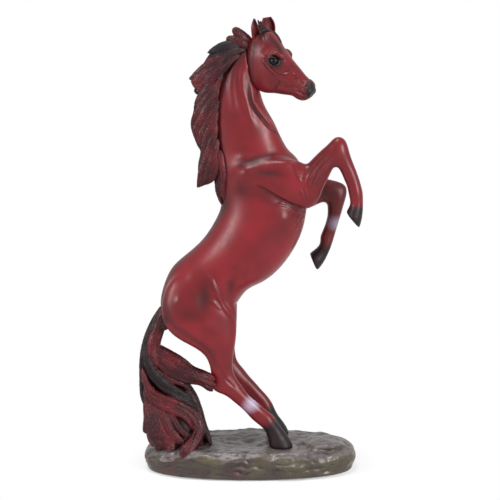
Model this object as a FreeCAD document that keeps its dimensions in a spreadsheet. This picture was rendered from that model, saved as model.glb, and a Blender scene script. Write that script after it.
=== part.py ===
"""Rearing horse statue on a rock plinth, in painted cast resin.

The figure is cast in pieces that are pegged and glued together: torso, neck, head, four legs,
ears, mane, forelock and tail.  Bent steel rods rise from the plinth through both hind legs and
carry the weight.  +X is the way the horse faces, +Z is up, and the origin is the centre of the
felt's underside.  Right is the horse's own right, which lies towards -Y.
"""
import FreeCAD
import Part
import Sketcher
import math
import os
from FreeCAD import Placement, Rotation, Vector

doc = FreeCAD.newDocument("rearing_horse")
sheet = doc.addObject("Spreadsheet::Sheet", "sizes")

# Driving dimensions in millimetres, and angles in degrees.
SIZES = (
    ("horse_length", 196.0),  # tail to raised fore hoof, along X
    ("horse_height", 376.0),  # plinth top to ear tips
    ("base_length", 191.0),
    ("base_depth", 84.0),
    ("base_height", 24.0),  # table to the flat on top of the plinth
    ("felt_thickness", 1.5),
    ("felt_margin", 5.0),  # inside the rock's foot
    ("mound_height", 6.0),  # of the mounds, above the flat of the plinth
    ("barrel_width", 57.0),
    ("thigh_width", 27.0),
    ("thigh_spacing", 29.0),
    ("hind_leg_width", 14.0),
    ("hind_leg_spacing", 36.0),
    ("shoulder_width", 20.0),
    ("shoulder_spacing", 34.0),
    ("foreleg_width", 19.0),
    ("foreleg_spacing", 37.0),
    ("neck_width", 35.0),
    ("head_length", 59.0),
    ("head_depth", 52.0),
    ("head_width", 26.0),
    ("head_turn", 26.0),  # degrees, towards the horse's right
    ("ear_height", 17.0),  # above the poll
    ("ear_width", 9.0),
    ("ear_depth", 7.0),
    ("ear_spacing", 15.0),
    ("ear_spread", 8.0),  # degrees, outward
    ("right_ear_lean", -7.0),  # degrees, forward
    ("left_ear_lean", 12.0),
    ("eye_diameter", 8.0),
    ("eye_stand_out", 1.2),  # how far the bead stands proud of the socket's rim
    ("forelock_width", 11.0),
    ("mane_width", 17.0),
    ("tail_width", 26.0),
    ("rod_diameter", 3.5),
    ("rod_seat_depth", 15.0),
    ("rod_bend_radius", 9.0),
    ("pin_diameter", 4.0),
    ("pin_length", 22.0),
    ("dowel_diameter", 9.0),
    ("dowel_length", 34.0),
    ("glue_gap", 0.1),  # radial room for glue round pins and dowels
)
for row, (alias, value) in enumerate(SIZES, start=1):
    sheet.set("A%d" % row, alias)
    sheet.set("B%d" % row, str(value))
    sheet.setAlias("B%d" % row, alias)
doc.recompute()


def size(alias):
    """One driving dimension, read from the sheet."""
    return float(sheet.get(alias))


def place(x_share, y, z_share):
    """A point of the figure: shares of the horse's length and height, above the plinth."""
    return Vector(
        x_share * size("horse_length"),
        y,
        size("base_height") + z_share * size("horse_height"),
    )


def smooth_loop(points):
    """A closed smooth curve through the points, with evenly spaced knots."""
    curve = Part.BSplineCurve()
    curve.interpolate(Points=points, PeriodicFlag=True, Parameters=list(range(len(points) + 1)))
    return curve


def ring(back, front, half_width, across=Vector(0, 1, 0), egg=0.0):
    """An oval cross-section from a back point to a front point.

    across is the direction of its width.  egg above 0 makes the front half the broader one."""
    centre = (back + front) * 0.5
    half_depth = (front - back) * 0.5
    points = []
    for step in range(RING_POINTS):
        angle = 2 * math.pi * step / RING_POINTS
        width = half_width * math.sin(angle) * (1 + egg * math.cos(angle))
        points.append(centre + half_depth * math.cos(angle) + across * width)
    return smooth_loop(points)


def rings(shares, width, y_start, y_end, egg=0.0):
    """The rings of a table of back x, back z, front x, front z and width shares.

    Their middles move evenly from y_start at the first ring to y_end at the last."""
    last = len(shares) - 1
    made = []
    for count, (back_x, back_z, front_x, front_z, width_share) in enumerate(shares):
        y = y_start + (y_end - y_start) * count / last
        back = place(back_x, y, back_z)
        front = place(front_x, y, front_z)
        made.append(ring(back, front, width_share * width / 2, egg=egg))
    return made


def lock_rings(shares, width):
    """The rings of a lock of hair along the middles in its table, each square to its path."""
    middles = [place(row[0], row[2] * width, row[1]) for row in shares]
    made = []
    for before, middle, after, row in zip(
        [middles[0], *middles], middles, [*middles[1:], middles[-1]], shares
    ):
        ahead = after - before
        aside = ahead.cross(Vector(0, 1, 0)).normalize() * (row[3] * width / 2)
        made.append(ring(middle + aside, middle - aside, row[4] * width / 2))
    return made


def skin(loops):
    """A solid whose smooth skin passes through all the loops, with a flat face at each end."""
    middles = [sum(loop.getPoles(), Vector()) / loop.NbPoles for loop in loops]
    stations = [0.0]
    for before, after in zip(middles, middles[1:]):
        stations.append(stations[-1] + before.distanceToPoint(after))
    columns = []
    for points in zip(*(loop.getPoles() for loop in loops)):
        column = Part.BSplineCurve()
        column.interpolate(Points=list(points), Parameters=stations)
        columns.append(column)
    surface = Part.BSplineSurface()
    surface.buildFromPolesMultsKnots(
        [column.getPoles() for column in columns],
        loops[0].getMultiplicities(),
        columns[0].getMultiplicities(),
        loops[0].getKnots(),
        columns[0].getKnots(),
        True,
        False,
        loops[0].Degree,
        columns[0].Degree,
    )
    side = surface.toShape()
    ends = [edge for edge in side.Edges if edge.isClosed()]
    caps = [Part.Face(Part.Wire([edge])) for edge in ends]
    shell = Part.Compound([side, *caps])
    shell.sewShape()
    solid = Part.Solid(shell)
    if solid.Volume < 0:
        solid.reverse()
    return solid


def feature(name, shape):
    """A document object that holds a shape worked out in code."""
    made = doc.addObject("Part::Feature", name)
    made.Shape = shape
    return made


def cut(label, body, tools):
    """body less each of the tools, as a chain of cuts, the last of which takes the label."""
    result = body
    for tool in tools:
        step = doc.addObject("Part::Cut", label + "_step")
        step.Base = result
        step.Tool = tool
        result = step
    result.Label = label
    return result


def fuse(name, parts):
    """All the parts as one object."""
    made = doc.addObject("Part::MultiFuse", name)
    made.Shapes = parts
    return made


RING_POINTS = 12  # points round a cross-section
ROCK_POINTS = 24  # points round an outline of the plinth
trunk_egg_share = 0.12
head_egg_share = -0.22

# Rings of the trunk from the rump to the withers, where the neck's first ring closes it.
torso_shares = (
    (-0.399, 0.317, -0.288, 0.283, 0.42),
    (-0.401, 0.336, -0.180, 0.290, 0.74),
    (-0.389, 0.372, -0.090, 0.322, 0.90),
    (-0.357, 0.413, -0.054, 0.341, 0.95),
    (-0.303, 0.444, -0.013, 0.369, 0.92),
    (-0.240, 0.472, 0.063, 0.391, 0.94),
    (-0.195, 0.498, 0.134, 0.422, 0.98),
    (-0.160, 0.527, 0.191, 0.463, 1.00),
    (-0.133, 0.557, 0.231, 0.508, 0.98),
    (-0.124, 0.590, 0.250, 0.555, 0.93),
    (-0.132, 0.625, 0.255, 0.606, 0.86),
    (-0.145, 0.660, 0.228, 0.660, 0.74),
)
# The first ring is the seam with the torso, and the last lies inside the head.
neck_shares = (
    (-0.154, 0.695, 0.172, 0.695, 1.00),
    (-0.165, 0.729, 0.134, 0.729, 0.89),
    (-0.173, 0.766, 0.103, 0.764, 0.80),
    (-0.173, 0.803, 0.066, 0.798, 0.73),
    (-0.161, 0.840, 0.046, 0.830, 0.68),
    (-0.135, 0.874, 0.039, 0.858, 0.65),
    (-0.091, 0.908, 0.048, 0.883, 0.62),
    (-0.039, 0.935, 0.070, 0.903, 0.57),
)
# Rings of the thigh from the hip down, closed by the first ring of the hind leg.
thigh_shares = (
    (-0.300, 0.420, -0.186, 0.392, 0.40),
    (-0.363, 0.389, -0.106, 0.363, 0.80),
    (-0.390, 0.347, -0.066, 0.342, 1.00),
    (-0.382, 0.299, -0.058, 0.313, 1.00),
    (-0.329, 0.266, -0.059, 0.287, 0.87),
    (-0.263, 0.246, -0.062, 0.263, 0.72),
)
# Rings of each hind leg from that seam down to the sole, which is flat on the plinth.
right_hind_leg_shares = (
    (-0.209, 0.226, -0.069, 0.238, 1.16),
    (-0.183, 0.202, -0.076, 0.209, 1.04),
    (-0.174, 0.171, -0.071, 0.180, 0.97),
    (-0.163, 0.140, -0.049, 0.159, 1.00),
    (-0.121, 0.129, -0.027, 0.142, 0.93),
    (-0.076, 0.112, 0.004, 0.122, 0.80),
    (-0.031, 0.091, 0.031, 0.110, 0.74),
    (0.013, 0.066, 0.067, 0.093, 0.76),
    (0.056, 0.047, 0.103, 0.077, 0.92),
    (0.074, 0.032, 0.130, 0.055, 0.86),
    (0.081, 0.018, 0.162, 0.034, 1.05),
    (0.088, 0.000, 0.196, 0.000, 1.30),
)
left_hind_leg_shares = (
    (-0.209, 0.226, -0.069, 0.238, 1.16),
    (-0.180, 0.204, -0.068, 0.212, 1.04),
    (-0.168, 0.174, -0.058, 0.184, 0.97),
    (-0.150, 0.145, -0.030, 0.164, 1.00),
    (-0.103, 0.132, -0.004, 0.146, 0.93),
    (-0.058, 0.115, 0.025, 0.129, 0.80),
    (-0.015, 0.095, 0.049, 0.114, 0.74),
    (0.024, 0.071, 0.078, 0.097, 0.76),
    (0.055, 0.049, 0.106, 0.074, 0.92),
    (0.069, 0.032, 0.126, 0.051, 0.86),
    (0.072, 0.018, 0.152, 0.032, 1.05),
    (0.074, 0.000, 0.182, 0.000, 1.30),
)
# Rings of the shoulder and upper arm from the withers forward, closed by the foreleg's first.
right_shoulder_shares = (
    (-0.070, 0.664, -0.070, 0.618, 0.40),
    (-0.009, 0.678, -0.017, 0.611, 0.75),
    (0.078, 0.685, 0.061, 0.597, 0.95),
    (0.165, 0.685, 0.148, 0.583, 1.00),
)
left_shoulder_shares = (
    (-0.070, 0.650, -0.070, 0.612, 0.40),
    (-0.009, 0.668, -0.017, 0.601, 0.75),
    (0.078, 0.672, 0.061, 0.583, 0.95),
    (0.165, 0.662, 0.155, 0.564, 1.00),
)
# Rings of the forelegs from the elbow seam to the sole.
right_foreleg_shares = (
    (0.246, 0.671, 0.240, 0.568, 1.03),
    (0.261, 0.679, 0.288, 0.581, 1.03),
    (0.287, 0.693, 0.318, 0.613, 0.95),
    (0.317, 0.708, 0.342, 0.641, 0.84),
    (0.347, 0.723, 0.359, 0.660, 0.76),
    (0.377, 0.735, 0.367, 0.666, 0.78),
    (0.407, 0.731, 0.376, 0.666, 0.76),
    (0.430, 0.705, 0.383, 0.664, 0.66),
    (0.445, 0.681, 0.396, 0.653, 0.58),
    (0.466, 0.654, 0.409, 0.637, 0.55),
    (0.481, 0.631, 0.423, 0.620, 0.57),
    (0.493, 0.606, 0.432, 0.599, 0.65),
    (0.495, 0.581, 0.437, 0.580, 0.63),
    (0.493, 0.557, 0.428, 0.569, 0.80),
    (0.479, 0.524, 0.421, 0.560, 0.86),
)
left_foreleg_shares = (
    (0.241, 0.648, 0.238, 0.555, 1.03),
    (0.263, 0.636, 0.264, 0.553, 1.00),
    (0.304, 0.629, 0.305, 0.562, 0.88),
    (0.344, 0.622, 0.336, 0.567, 0.78),
    (0.384, 0.617, 0.347, 0.562, 0.76),
    (0.420, 0.609, 0.347, 0.555, 0.77),
    (0.434, 0.591, 0.348, 0.543, 0.74),
    (0.423, 0.565, 0.346, 0.532, 0.66),
    (0.408, 0.536, 0.339, 0.517, 0.58),
    (0.391, 0.505, 0.326, 0.499, 0.55),
    (0.378, 0.481, 0.315, 0.481, 0.57),
    (0.363, 0.457, 0.313, 0.466, 0.65),
    (0.352, 0.443, 0.295, 0.455, 0.63),
    (0.336, 0.426, 0.273, 0.446, 0.80),
    (0.303, 0.402, 0.271, 0.441, 0.86),
)
# Rings of the head in its own frame, in shares of the head's length and depth from the poll.
poll_shares = (0.017, 0.894)
head_shares = (
    (-0.048, 0.279, -0.032, -0.183, 0.62),
    (0.016, 0.444, -0.016, -0.344, 0.85),
    (0.127, 0.512, 0.064, -0.431, 0.96),
    (0.254, 0.540, 0.177, -0.460, 1.00),
    (0.364, 0.437, 0.273, -0.463, 0.98),
    (0.461, 0.294, 0.368, -0.462, 0.88),
    (0.555, 0.167, 0.464, -0.473, 0.75),
    (0.652, 0.048, 0.543, -0.479, 0.65),
    (0.746, -0.062, 0.621, -0.492, 0.58),
    (0.834, -0.165, 0.686, -0.531, 0.55),
    (0.904, -0.227, 0.748, -0.552, 0.57),
    (0.952, -0.308, 0.827, -0.545, 0.51),
    (0.962, -0.388, 0.893, -0.503, 0.35),
)
forelock_shares = (
    (0.090, 0.380, -0.010, 0.520, 0.60),
    (0.160, 0.420, 0.140, 0.585, 1.00),
    (0.270, 0.400, 0.300, 0.535, 0.90),
    (0.340, 0.310, 0.395, 0.420, 0.60),
    (0.400, 0.250, 0.450, 0.310, 0.25),
)
# Rings of the tail's core, from inside the rump to the plinth, where it spreads to the right.
tail_shares = (
    (-0.385, 0.340, -0.345, 0.310, 0.45),
    (-0.431, 0.300, -0.391, 0.272, 0.52),
    (-0.468, 0.259, -0.398, 0.244, 0.52),
    (-0.491, 0.227, -0.392, 0.220, 0.53),
    (-0.503, 0.196, -0.361, 0.193, 0.58),
    (-0.497, 0.164, -0.307, 0.159, 0.63),
    (-0.498, 0.130, -0.281, 0.130, 0.69),
    (-0.490, 0.095, -0.249, 0.097, 0.77),
    (-0.477, 0.061, -0.222, 0.063, 0.89),
    (-0.462, 0.026, -0.196, 0.028, 1.05),
    (-0.430, 0.000, -0.186, 0.000, 1.25),
)
# Locks that lie on the core, from root to tip: middle x and z, then y, width and depth in
# shares of the tail's width.
tail_lock_shares = {
    "crossing": (
        (-0.467, 0.240, -0.14, 0.24, 0.22),
        (-0.464, 0.222, -0.31, 0.31, 0.28),
        (-0.460, 0.200, -0.36, 0.34, 0.29),
        (-0.435, 0.175, -0.42, 0.36, 0.29),
        (-0.390, 0.151, -0.46, 0.36, 0.29),
        (-0.335, 0.132, -0.45, 0.34, 0.27),
        (-0.279, 0.110, -0.36, 0.28, 0.25),
        (-0.240, 0.084, -0.27, 0.14, 0.16),
    ),
    "sweeping": (
        (-0.482, 0.188, -0.14, 0.22, 0.20),
        (-0.477, 0.168, -0.31, 0.29, 0.27),
        (-0.463, 0.142, -0.38, 0.33, 0.29),
        (-0.427, 0.121, -0.48, 0.34, 0.30),
        (-0.373, 0.108, -0.54, 0.34, 0.30),
        (-0.314, 0.098, -0.54, 0.34, 0.30),
        (-0.264, 0.082, -0.50, 0.34, 0.30),
        (-0.230, 0.056, -0.50, 0.35, 0.31),
        (-0.224, 0.030, -0.64, 0.36, 0.32),
        (-0.241, 0.010, -0.88, 0.34, 0.32),
        (-0.274, -0.003, -1.13, 0.26, 0.28),
        (-0.310, -0.014, -1.31, 0.14, 0.20),
    ),
    "lower": (
        (-0.470, 0.150, -0.18, 0.20, 0.20),
        (-0.462, 0.131, -0.36, 0.27, 0.26),
        (-0.441, 0.112, -0.45, 0.31, 0.28),
        (-0.391, 0.096, -0.56, 0.34, 0.30),
        (-0.332, 0.085, -0.60, 0.34, 0.30),
        (-0.287, 0.069, -0.58, 0.27, 0.26),
        (-0.261, 0.045, -0.58, 0.12, 0.14),
    ),
    "outer_foot": (
        (-0.466, 0.140, -0.14, 0.24, 0.22),
        (-0.461, 0.118, -0.32, 0.34, 0.29),
        (-0.456, 0.097, -0.36, 0.38, 0.32),
        (-0.454, 0.068, -0.40, 0.40, 0.34),
        (-0.460, 0.044, -0.39, 0.36, 0.32),
        (-0.465, 0.027, -0.36, 0.26, 0.24),
    ),
    "middle_foot": (
        (-0.432, 0.114, -0.32, 0.28, 0.24),
        (-0.425, 0.094, -0.50, 0.38, 0.31),
        (-0.415, 0.070, -0.58, 0.46, 0.34),
        (-0.408, 0.038, -0.68, 0.52, 0.38),
        (-0.402, 0.010, -0.78, 0.50, 0.40),
        (-0.395, -0.010, -0.82, 0.42, 0.36),
    ),
    "front_foot": (
        (-0.378, 0.100, -0.38, 0.26, 0.24),
        (-0.369, 0.079, -0.60, 0.36, 0.32),
        (-0.357, 0.055, -0.68, 0.44, 0.34),
        (-0.352, 0.024, -0.80, 0.46, 0.38),
        (-0.355, -0.010, -0.92, 0.40, 0.36),
    ),
    "far_crossing": (
        (-0.458, 0.226, -0.02, 0.24, 0.22),
        (-0.449, 0.202, 0.13, 0.33, 0.30),
        (-0.436, 0.167, 0.15, 0.38, 0.32),
        (-0.397, 0.127, 0.16, 0.40, 0.34),
        (-0.342, 0.093, 0.16, 0.40, 0.34),
        (-0.292, 0.060, 0.16, 0.38, 0.34),
        (-0.266, 0.022, 0.17, 0.34, 0.34),
        (-0.262, -0.010, 0.20, 0.30, 0.30),
    ),
    "far_outer": (
        (-0.475, 0.180, -0.08, 0.24, 0.20),
        (-0.471, 0.154, 0.07, 0.32, 0.29),
        (-0.463, 0.118, 0.08, 0.36, 0.32),
        (-0.441, 0.073, 0.12, 0.42, 0.34),
        (-0.424, 0.028, 0.18, 0.46, 0.36),
        (-0.411, -0.010, 0.24, 0.42, 0.34),
    ),
}
hock_lock_shares = (
    (-0.449, 0.239, -0.437, 0.174, 0.35),
    (-0.390, 0.229, -0.378, 0.161, 0.42),
    (-0.332, 0.208, -0.320, 0.150, 0.40),
    (-0.274, 0.182, -0.271, 0.145, 0.34),
    (-0.221, 0.168, -0.221, 0.142, 0.30),
    (-0.185, 0.163, -0.188, 0.132, 0.32),
    (-0.160, 0.152, -0.163, 0.134, 0.26),
)
mane_crest_shares = (
    (-0.045, 0.945, -0.005, 0.915, 0.50),
    (-0.122, 0.937, -0.052, 0.905, 0.70),
    (-0.183, 0.917, -0.090, 0.880, 0.85),
    (-0.218, 0.890, -0.115, 0.860, 0.95),
    (-0.262, 0.858, -0.125, 0.835, 1.00),
    (-0.223, 0.828, -0.135, 0.814, 1.00),
)
mane_fall_shares = (
    (-0.223, 0.828, -0.135, 0.814, 1.00),
    (-0.232, 0.796, -0.140, 0.785, 1.00),
    (-0.250, 0.762, -0.140, 0.755, 1.00),
    (-0.233, 0.727, -0.140, 0.723, 0.95),
    (-0.202, 0.697, -0.135, 0.690, 0.90),
    (-0.211, 0.667, -0.140, 0.658, 0.85),
    (-0.225, 0.639, -0.150, 0.632, 0.70),
    (-0.230, 0.611, -0.194, 0.613, 0.35),
)
mane_withers_shares = (
    (-0.167, 0.655, -0.110, 0.651, 0.85),
    (-0.150, 0.625, -0.100, 0.623, 0.80),
    (-0.144, 0.597, -0.097, 0.595, 0.60),
    (-0.133, 0.576, -0.100, 0.574, 0.40),
)
poll_lock_shares = (
    (0.010, 0.948, -0.010, 0.915, 0.45),
    (-0.020, 0.960, -0.040, 0.932, 0.42),
    (-0.050, 0.972, -0.066, 0.949, 0.32),
    (-0.072, 0.976, -0.078, 0.963, 0.18),
)
# Ear rings: height, forward shift, depth and width shares; the first ring lies in the head.
ear_shares = (
    (-0.35, -0.10, 0.70, 0.70),
    (0.00, 0.00, 0.95, 0.85),
    (0.35, 0.05, 1.00, 1.00),
    (0.70, 0.00, 0.75, 0.80),
    (0.90, -0.05, 0.45, 0.45),
    (1.00, -0.08, 0.15, 0.15),
)
ear_bowl_shares = (
    (0.05, 0.55, 0.30, 0.30),
    (0.20, 0.50, 0.60, 0.55),
    (0.45, 0.45, 0.70, 0.65),
    (0.70, 0.38, 0.50, 0.45),
    (0.88, 0.25, 0.20, 0.15),
)
ear_foot_shares = (0.110, 0.450)  # the ear's foot in the head's frame
eye_shares = (0.400, 0.090)
eye_surface_share = 0.97  # how far out the cheek lies at the eye
hock_lock_start_share = 0.2
# Outlines of the plinth: height and reach shares.
rock_shares = (
    (0.00, 0.955),
    (0.22, 0.985),
    (0.45, 1.000),
    (0.68, 0.985),
    (0.88, 0.930),
    (1.00, 0.850),
)
rock_square_share = 0.8  # 1 gives an oval, less a rounded oblong
# Mounds: x and y of the middle, then reach along x and y, in shares of the plinth's size.
mound_shares = {
    "tail_mound": (-0.330, -0.04, 0.130, 0.24),
    "front_mound": (0.340, -0.12, 0.100, 0.22),
}
# Routes of the rods: x and z shares of the corners, from the sole upward.
right_rod_shares = ((0.125, 0.041), (-0.112, 0.152), (-0.150, 0.262), (-0.215, 0.335))
left_rod_shares = ((0.106, 0.047), (-0.096, 0.155), (-0.150, 0.262), (-0.215, 0.335))
head_pin_shares = (-0.005, 0.905)
tail_root_pin_shares = (-0.382, 0.307)
tail_foot_pin_share = -0.324
tail_shift_share = 0.30  # how far the tail's foot lies to the right, of its width

THIGH_HALF_SPACING = size("thigh_spacing") / 2
HIND_HALF_SPACING = size("hind_leg_spacing") / 2
FORE_HALF_SPACING = size("foreleg_spacing") / 2
SHOULDER_HALF_SPACING = size("shoulder_spacing") / 2
RIGHT = -1
LEFT = 1


def hind_leg_rings(shares, side):
    """The rings of a hind leg from the seam above the hock to the sole."""
    y = side * HIND_HALF_SPACING
    return rings(shares, size("hind_leg_width"), y, y)


def foreleg_rings(shares, side):
    """The rings of a foreleg from the elbow to the sole."""
    y = side * FORE_HALF_SPACING
    return rings(shares, size("foreleg_width"), y, y)


# The trunk, which carries both thighs and both shoulders, and the limbs and neck that meet it.
neck_rings = rings(neck_shares, size("neck_width"), 0, 0, trunk_egg_share)
trunk_rings = rings(torso_shares, size("barrel_width"), 0, 0, trunk_egg_share)
torso_forms = [feature("trunk_form", skin(trunk_rings + neck_rings[:1]))]
leg_forms = {}
for side, word, hind_shares, shoulder_shares, fore_shares in (
    (RIGHT, "right", right_hind_leg_shares, right_shoulder_shares, right_foreleg_shares),
    (LEFT, "left", left_hind_leg_shares, left_shoulder_shares, left_foreleg_shares),
):
    hind_rings = hind_leg_rings(hind_shares, side)
    thigh_rings = rings(
        thigh_shares,
        size("thigh_width"),
        side * THIGH_HALF_SPACING,
        side * HIND_HALF_SPACING,
    )
    torso_forms.append(feature(word + "_thigh_form", skin(thigh_rings + hind_rings[:1])))
    leg_forms[word + "_hind_leg"] = feature(word + "_hind_leg_form", skin(hind_rings))
    fore_rings = foreleg_rings(fore_shares, side)
    shoulder_rings = rings(
        shoulder_shares,
        size("shoulder_width"),
        side * SHOULDER_HALF_SPACING,
        side * FORE_HALF_SPACING,
    )
    torso_forms.append(feature(word + "_shoulder_form", skin(shoulder_rings + fore_rings[:1])))
    leg_forms[word + "_foreleg"] = feature(word + "_foreleg_form", skin(fore_rings))
torso_form = fuse("torso_form", torso_forms)
neck_form = feature("neck_form", skin(neck_rings))


# The head, in a frame that turns with it about the poll.
poll = place(poll_shares[0], 0, poll_shares[1])
head_rotation = Rotation(Vector(0, 0, 1), -size("head_turn"))
head_across = head_rotation.multVec(Vector(0, 1, 0))


def head_place(x_share, y, z_share):
    """A point of the head: shares of its length and depth from the poll, y to its left."""
    local = Vector(x_share * size("head_length"), y, z_share * size("head_depth"))
    return poll + head_rotation.multVec(local)


def head_form_rings(shares, width, egg=0.0):
    """The rings of a table in the head's frame: top x, top z, bottom x, bottom z and width."""
    made = []
    for top_x, top_z, bottom_x, bottom_z, width_share in shares:
        top = head_place(top_x, 0, top_z)
        bottom = head_place(bottom_x, 0, bottom_z)
        made.append(ring(top, bottom, width_share * width / 2, head_across, egg))
    return made


head_rings = head_form_rings(head_shares, size("head_width"), head_egg_share)
head_form = feature("head_form", skin(head_rings))
forelock_form = feature(
    "forelock_form", skin(head_form_rings(forelock_shares, size("forelock_width")))
)


def ear_rings(shares):
    """The rings of an ear or of its bowl, standing on the origin and opening towards +X."""
    made = []
    for height_share, forward_share, depth_share, width_share in shares:
        height = height_share * size("ear_height")
        middle = forward_share * size("ear_depth")
        half_depth = depth_share * size("ear_depth") / 2
        back = Vector(middle - half_depth, 0, height)
        front = Vector(middle + half_depth, 0, height)
        made.append(ring(back, front, width_share * size("ear_width") / 2))
    return made


def ear_form(word, side, lean):
    """A cupped ear, placed on the poll and leaning forward by an angle in degrees."""
    whole = skin(ear_rings(ear_shares))
    bowl = skin(ear_rings(ear_bowl_shares))
    ear = feature(word + "_ear_form", whole.cut(bowl))
    foot = head_place(ear_foot_shares[0], side * size("ear_spacing") / 2, ear_foot_shares[1])
    spread = Rotation(Vector(1, 0, 0), -side * size("ear_spread"))
    forward = Rotation(Vector(0, 1, 0), lean)
    ear.Placement = Placement(foot, head_rotation * spread * forward)
    return ear


right_ear_form = ear_form("right", RIGHT, size("right_ear_lean"))
left_ear_form = ear_form("left", LEFT, size("left_ear_lean"))


def eye(word, side):
    """A glossy bead, most of it sunk in the head."""
    bead = doc.addObject("Part::Sphere", word + "_eye")
    bead.setExpression("Radius", "sizes.eye_diameter / 2")
    surface = eye_surface_share * size("head_width") / 2
    y = surface - size("eye_diameter") / 2 + size("eye_stand_out")
    outward = Rotation(Vector(0, 0, 1), head_across * side)
    bead.Placement = Placement(head_place(eye_shares[0], side * y, eye_shares[1]), outward)
    return bead


right_eye = eye("right", RIGHT)
left_eye = eye("left", LEFT)

# Mane, tail and their loose locks.
mane_crest_form = feature(
    "mane_crest_form", skin(rings(mane_crest_shares, size("mane_width"), 0, 0))
)
mane_fall_form = feature("mane_fall_form", skin(rings(mane_fall_shares, size("mane_width"), 0, 0)))
mane_withers_form = feature(
    "mane_withers_form", skin(rings(mane_withers_shares, size("mane_width"), 0, 0))
)
poll_lock_form = feature("poll_lock_form", skin(rings(poll_lock_shares, size("mane_width"), 0, 0)))
tail_shift = tail_shift_share * size("tail_width")
tail_core = skin(rings(tail_shares, size("tail_width"), 0, -tail_shift))
tail_parts = [feature("tail_core_form", tail_core)]
for word, shares in tail_lock_shares.items():
    lock = skin(lock_rings(shares, size("tail_width")))
    tail_parts.append(feature(word + "_tail_lock_form", lock))
tail_form = fuse("tail_form", tail_parts)
hock_lock_form = feature(
    "hock_lock_form",
    skin(
        rings(
            hock_lock_shares,
            size("tail_width"),
            -hock_lock_start_share * size("tail_width"),
            -HIND_HALF_SPACING,
        )
    ),
)


# The plinth: an oval rock, undercut at the foot, with a flat top and two low mounds.
def rock_ring(z_share, reach_share):
    """One level outline of the rock, between an oval and a rounded oblong."""
    z = size("felt_thickness") + z_share * (size("base_height") - size("felt_thickness"))
    points = []
    for step in range(ROCK_POINTS):
        angle = 2 * math.pi * step / ROCK_POINTS
        along = math.cos(angle)
        aside = math.sin(angle)
        x = math.copysign(abs(along) ** rock_square_share, along)
        y = math.copysign(abs(aside) ** rock_square_share, aside)
        points.append(
            Vector(
                reach_share * size("base_length") / 2 * x,
                reach_share * size("base_depth") / 2 * y,
                z,
            )
        )
    return smooth_loop(points)


rock_rings = [rock_ring(z_share, reach_share) for z_share, reach_share in rock_shares]
rock_parts = [feature("rock_form", skin(rock_rings))]
for name, (x_share, y_share, reach_x_share, reach_y_share) in mound_shares.items():
    mound = doc.addObject("Part::Ellipsoid", name)
    mound.setExpression("Radius1", "sizes.mound_height")
    mound.setExpression("Radius2", "sizes.base_length * %s" % reach_x_share)
    mound.setExpression("Radius3", "sizes.base_depth * %s" % reach_y_share)
    mound.Placement = Placement(
        Vector(x_share * size("base_length"), y_share * size("base_depth"), size("base_height")),
        Rotation(),
    )
    rock_parts.append(mound)
rock_form = fuse("rock_with_mounds", rock_parts)

foot_share = rock_shares[0][1]
outline = doc.addObject("Part::Ellipse", "felt_outline")
outline.setExpression("MajorRadius", "sizes.base_length / 2 * %s - sizes.felt_margin" % foot_share)
outline.setExpression("MinorRadius", "sizes.base_depth / 2 * %s - sizes.felt_margin" % foot_share)
felt = doc.addObject("Part::Extrusion", "base_felt")
felt.Base = outline
felt.Dir = Vector(0, 0, 1)
felt.Solid = True
felt.setExpression("LengthFwd", "sizes.felt_thickness")


# Steel rods, pins and dowels, each with a hole a glue gap wider.
def corner_arc(before, corner, after, radius):
    """The start, middle and end of the arc that rounds a corner of a path."""
    back = (before - corner).normalize()
    ahead = (after - corner).normalize()
    half_turn = back.getAngle(ahead) / 2
    reach = radius / math.tan(half_turn)
    towards = (back + ahead).normalize()
    nearest = radius / math.sin(half_turn) - radius
    return corner + back * reach, corner + towards * nearest, corner + ahead * reach


def rod_path(shares):
    """The points of a rod's path in its own plane, from its seat in the plinth upward."""
    points = [place(x_share, 0, z_share) for x_share, z_share in shares]
    points.insert(0, points[0] - Vector(0, 0, points[0].z - size("base_height")))
    points[0].z = size("base_height") - size("rod_seat_depth")
    return points


def bent_rod(name, shares, y, radius_expression):
    """A round rod along straight runs joined by arcs, in a level body moved aside to y."""
    body = doc.addObject("PartDesign::Body", name)
    planes = {plane.Role: plane for plane in body.Origin.OriginFeatures}
    points = rod_path(shares)
    route = body.newObject("Sketcher::SketchObject", name + "_route")
    route.AttachmentSupport = (planes["XZ_Plane"], "")
    route.MapMode = "FlatFace"
    start = points[0]
    count = 0
    for before, corner, after in zip(points, points[1:], points[2:]):
        first, middle, last = corner_arc(before, corner, after, size("rod_bend_radius"))
        route.addGeometry(Part.LineSegment(flat(start), flat(first)))
        route.addGeometry(Part.Arc(flat(first), flat(middle), flat(last)))
        start = last
        count += 2
    route.addGeometry(Part.LineSegment(flat(start), flat(points[-1])))
    section = body.newObject("Sketcher::SketchObject", name + "_section")
    section.AttachmentSupport = (planes["XY_Plane"], "")
    section.MapMode = "FlatFace"
    section.AttachmentOffset = Placement(points[0], Rotation())
    section.addGeometry(Part.Circle(Vector(), Vector(0, 0, 1), size("rod_diameter") / 2))
    section.addConstraint(Sketcher.Constraint("Coincident", 0, 3, -1, 1))
    section.addConstraint(Sketcher.Constraint("Radius", 0, size("rod_diameter") / 2))
    section.setExpression("Constraints[1]", radius_expression)
    pipe = body.newObject("PartDesign::AdditivePipe", name + "_pipe")
    pipe.Profile = section
    pipe.Spine = (route, ["Edge%d" % edge for edge in range(1, count + 2)])
    body.Placement = Placement(Vector(0, y, 0), Rotation())
    return body


def flat(point):
    """A point of the XZ plane in that plane's own coordinates."""
    return Vector(point.x, point.z, 0)


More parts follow.
